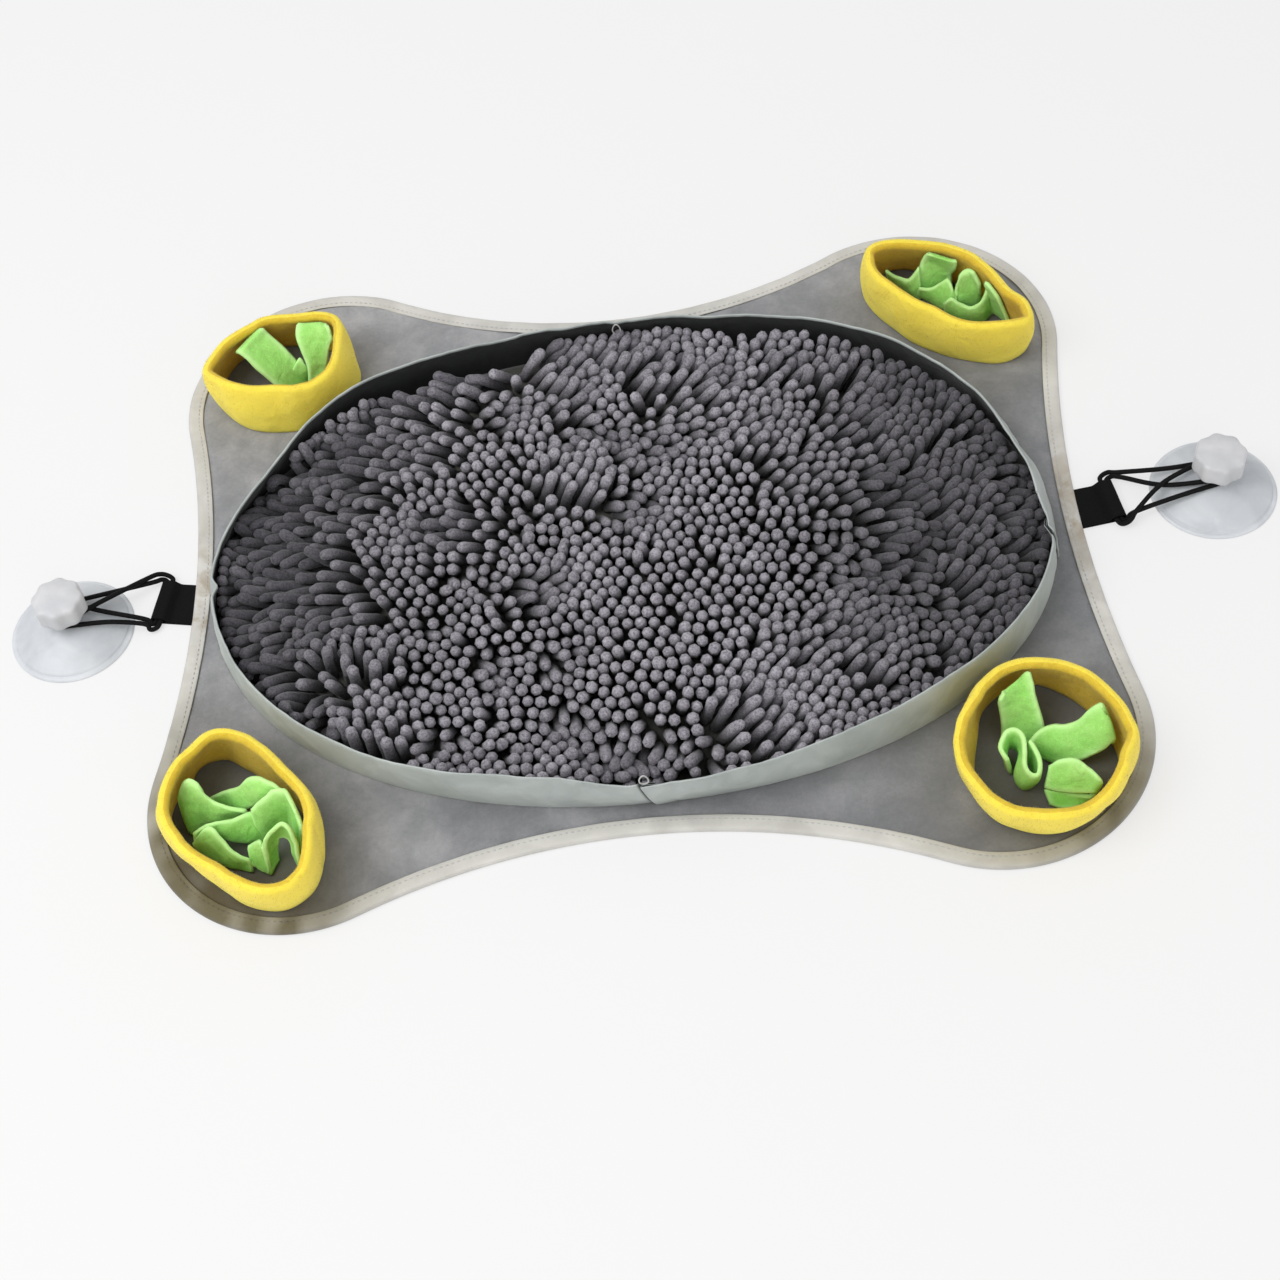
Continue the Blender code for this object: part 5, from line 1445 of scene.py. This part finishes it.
def elastic_path(side):
    """One closed loop, doubled: twice through the tab's tunnel and twice round the cup's neck.

    Rows are the distance from the tunnel towards the neck, the distance across and the height. All
    strands climb along one slope; where two would meet, the upper one is lifted by a cord and a bit.
    """
    _, out, across, tunnel = side_frame(side)
    neck = np.array([side.cup_x, side.cup_y])
    length = np.linalg.norm(neck - tunnel)
    radius = NECK_RADIUS + GAP + CORD / 2
    bed = WEBBING + GAP + CORD / 2
    low = NECK_LOW + GAP + CORD / 2
    lift = CORD + 0.4
    run = lift / 2
    edge = TAB_WIDTH / 2
    cross = side.crossing * length

    def slope(distance, above=0.0):
        return bed + (low - bed) * min(distance / (length - radius), 1.0) + above

    def round_neck(spread, z):
        turns = np.linspace(-spread, spread, NECK_ROWS)
        return [(length + radius * np.cos(turn), radius * np.sin(turn), z) for turn in turns]

    steep = np.pi - np.arccos(radius / (length - cross))
    rows = [
        (-run, 6.0, bed), (-run, -6.0, bed), (-run, -edge - 0.6, bed), (0.6, -edge - 4.8, bed + 0.4),
        (5.6, -edge - 5.2, slope(5.6, 1.8)), (12.0, -edge + 0.2, slope(12.0, lift)),
        (cross, 0.0, slope(cross, lift + 0.3)),
    ]
    rows += reversed(round_neck(steep, low + lift))
    rows += [
        (cross, 0.0, slope(cross)), (10.0, edge + 0.4, slope(10.0)), (5.0, edge + 3.2, slope(3.0)),
        (run, edge + 0.6, bed), (run, 6.0, bed), (run, -6.0, bed), (run, -edge - 0.4, bed),
        (4.8, -edge - 2.6, slope(3.0)), (10.0, -edge + 0.8, slope(10.0)),
        (length * 0.6, -11.5, slope(length * 0.6)),
    ]
    rows += round_neck(np.pi / 2, low)
    rows += [
        (length * 0.6, 11.5, slope(length * 0.6)), (10.5, edge + 4.2, slope(10.5)),
        (4.6, edge + 7.4, slope(2.0)), (-0.6, edge + 5.2, bed), (-run, edge + 0.6, bed),
    ]
    rows = np.array(rows)
    share = np.clip(rows[:, :1] / (0.5 * length), 0, 1)
    forward = unit(neck - tunnel)
    sideways = np.array([-forward[1], forward[0]])
    way_out = out * (1 - share) + forward * share
    way_side = across * (1 - share) + sideways * share
    plan = tunnel + way_out * rows[:, :1] + way_side * rows[:, 1:2]
    path = curve(np.column_stack([plan, rows[:, 2]]), 8 * len(rows), closed=True)
    path[:, 2] = np.clip(path[:, 2], bed, low + lift)
    return path


def make_elastic(side):
    """Round braided cord along its looped path."""
    path = elastic_path(side)
    grid = tube_grid(path, np.full(len(path), CORD / 2 * BRAID_SWELL), 10)
    shape = (1, *grid.shape[:2])
    length = np.linalg.norm(np.roll(path, -1, axis=0) - path, axis=1).sum()
    piece = add_piece("elastic_loop_" + side.name, grid, quads_of(shape, True, True), BRAID,
                      quad_uvs(shape, True, True, (length, np.pi * CORD)))
    settle(piece, "mat", "elastic", "elastic_" + side.name)


def make_cup(side):
    """Suction cup: a hollow dome on a flat rim, a neck for the elastic and a stud for the nut."""
    hollow = curve([(0.0, 10.0), (8.0, 9.8), (16.0, 8.8), (26.0, 5.4), (34.0, 1.6), (36.6, 0.2)], 20)
    dome = curve([(CUP_RADIUS, 0.9), (38.8, 1.9), (37.0, 2.5), (36.2, 3.5), (34.5, 4.6), (28.5, 8.0),
                  (20.0, 11.8), (12.5, 14.6), (8.6, 16.2)], 32)
    rim = [(37.2, 0.0), (CUP_RADIUS - 0.5, 0.0), (CUP_RADIUS, 0.4)]
    post = [(NECK_RADIUS, 17.0), (NECK_RADIUS, NECK_HIGH - 0.4), (NECK_RADIUS - 0.4, NECK_HIGH),
            (STUD_RADIUS, NECK_HIGH), (STUD_RADIUS, STUD_TOP - 0.4), (STUD_RADIUS - 0.4, STUD_TOP),
            (0.0, STUD_TOP)]
    piece = turned_piece("suction_cup_" + side.name, np.vstack([hollow, rim, dome, post]), CUP_SIDES,
                         (side.cup_x, side.cup_y), CUP_VINYL)
    settle(piece, "mat", "cup", "cup_" + side.name)


def make_nut(side):
    """Lobed cap nut: soft edges, a dished top and a blind bore."""
    bore = STUD_RADIUS + GAP
    profile = (
        (0.0, STUD_TOP + GAP), (bore, STUD_TOP + GAP), (bore, NUT_LOW), (NUT_RADIUS - 1.2, NUT_LOW),
        (NUT_RADIUS - 0.3, NUT_LOW + 0.3), (NUT_RADIUS, NUT_LOW + 1.1), (NUT_RADIUS, NUT_LOW + 4.0),
        (NUT_RADIUS, NUT_HIGH - 4.0), (NUT_RADIUS - 0.1, NUT_HIGH - 1.8),
        (NUT_RADIUS - 0.7, NUT_HIGH - 0.6), (NUT_RADIUS - 1.8, NUT_HIGH),
        (NUT_RADIUS - 4.0, NUT_HIGH + 0.5), (NUT_CROWN_RADIUS + 3, NUT_CROWN - 0.2),
        (NUT_CROWN_RADIUS, NUT_CROWN - 0.1), (3.0, NUT_CROWN - 0.3), (0.0, NUT_CROWN - 0.35),
    )
    piece = turned_piece("screw_nut_" + side.name, profile, NUT_SIDES, (side.cup_x, side.cup_y),
                         NUT_PLASTIC, inside=8.0, fade=5.0, depth=NUT_LOBE_DEPTH, count=NUT_LOBES)
    settle(piece, side.name + "_nut", "nut", "nut_" + side.name)


# ---- floor, light and camera

def placed(axes, place):
    """Matrix of an object with its three axes at a place in metres."""
    rows = np.column_stack([*axes, place])
    return Matrix([*rows.tolist(), [0.0, 0.0, 0.0, 1.0]])


def make_studio():
    """Pale floor, a soft key from the upper left, a fill and an even white surround."""
    mesh = bpy.data.meshes.new("floor")
    mesh.from_pydata([(-6, -6, 0), (6, -6, 0), (6, 6, 0), (-6, 6, 0)], [], [(0, 1, 2, 3)])
    floor = bpy.data.objects.new("floor", mesh)
    bpy.context.scene.collection.objects.link(floor)
    finish = Finish("floor", Base_Color=(FLOOR_SHADE, FLOOR_SHADE, FLOOR_SHADE, 1.0), Roughness=0.95,
                    Specular_IOR_Level=0.0, Emission_Color=(1, 1, 1, 1), Emission_Strength=FLOOR_GLOW)
    mesh.materials.append(finish.material)
    world = bpy.data.worlds.new("studio")
    bpy.context.scene.world = world
    world.use_nodes = True
    world.node_tree.nodes["Background"].inputs["Color"].default_value = (1, 1, 1, 1)
    world.node_tree.nodes["Background"].inputs["Strength"].default_value = SURROUND
    for lamp in LAMPS:
        light = bpy.data.lights.new(lamp.name, "AREA")
        light.shape = "DISK"
        light.size = lamp.size
        light.energy = lamp.power
        holder = bpy.data.objects.new(lamp.name, light)
        back = unit(np.array(lamp.place))
        right = unit(np.cross([0, 0, 1], back))
        holder.matrix_world = placed([right, np.cross(back, right), back], lamp.place)
        bpy.context.scene.collection.objects.link(holder)


def make_camera():
    """The photo's camera, with its aim, distance and lens taken to a tenth of a millimetre."""
    right, up, back = camera_axes()
    place = (np.round([*AIM, 0.0], 1) + back * round(CAMERA_DISTANCE, 1)) * MM
    lens = bpy.data.cameras.new("camera")
    lens.lens = round(LENS, 1)
    lens.sensor_width, lens.sensor_fit = SENSOR, "HORIZONTAL"
    lens.clip_start, lens.clip_end = 0.01, 100
    camera = bpy.data.objects.new("camera", lens)
    camera.matrix_world = placed([right, up, back], place)
    bpy.context.scene.collection.objects.link(camera)
    bpy.context.scene.camera = camera
    bpy.context.scene.view_settings.view_transform = "Standard"


make_camera()
make_studio()
make_base()
make_binding()
make_wall()
make_dart_loops()
make_pile()
for number, (place, ring) in enumerate(RINGS.items()):
    make_ring(place, ring, 50 + 5 * number)
    for strip, table in enumerate(STRIPS[place], 1):
        make_strip(f"strip_{place}_{strip}", ring, table, 80 + 10 * number + strip)
for side in SIDES:
    make_tab(side)
    make_elastic(side)
    make_cup(side)
    make_nut(side)

bpy.context.view_layer.update()
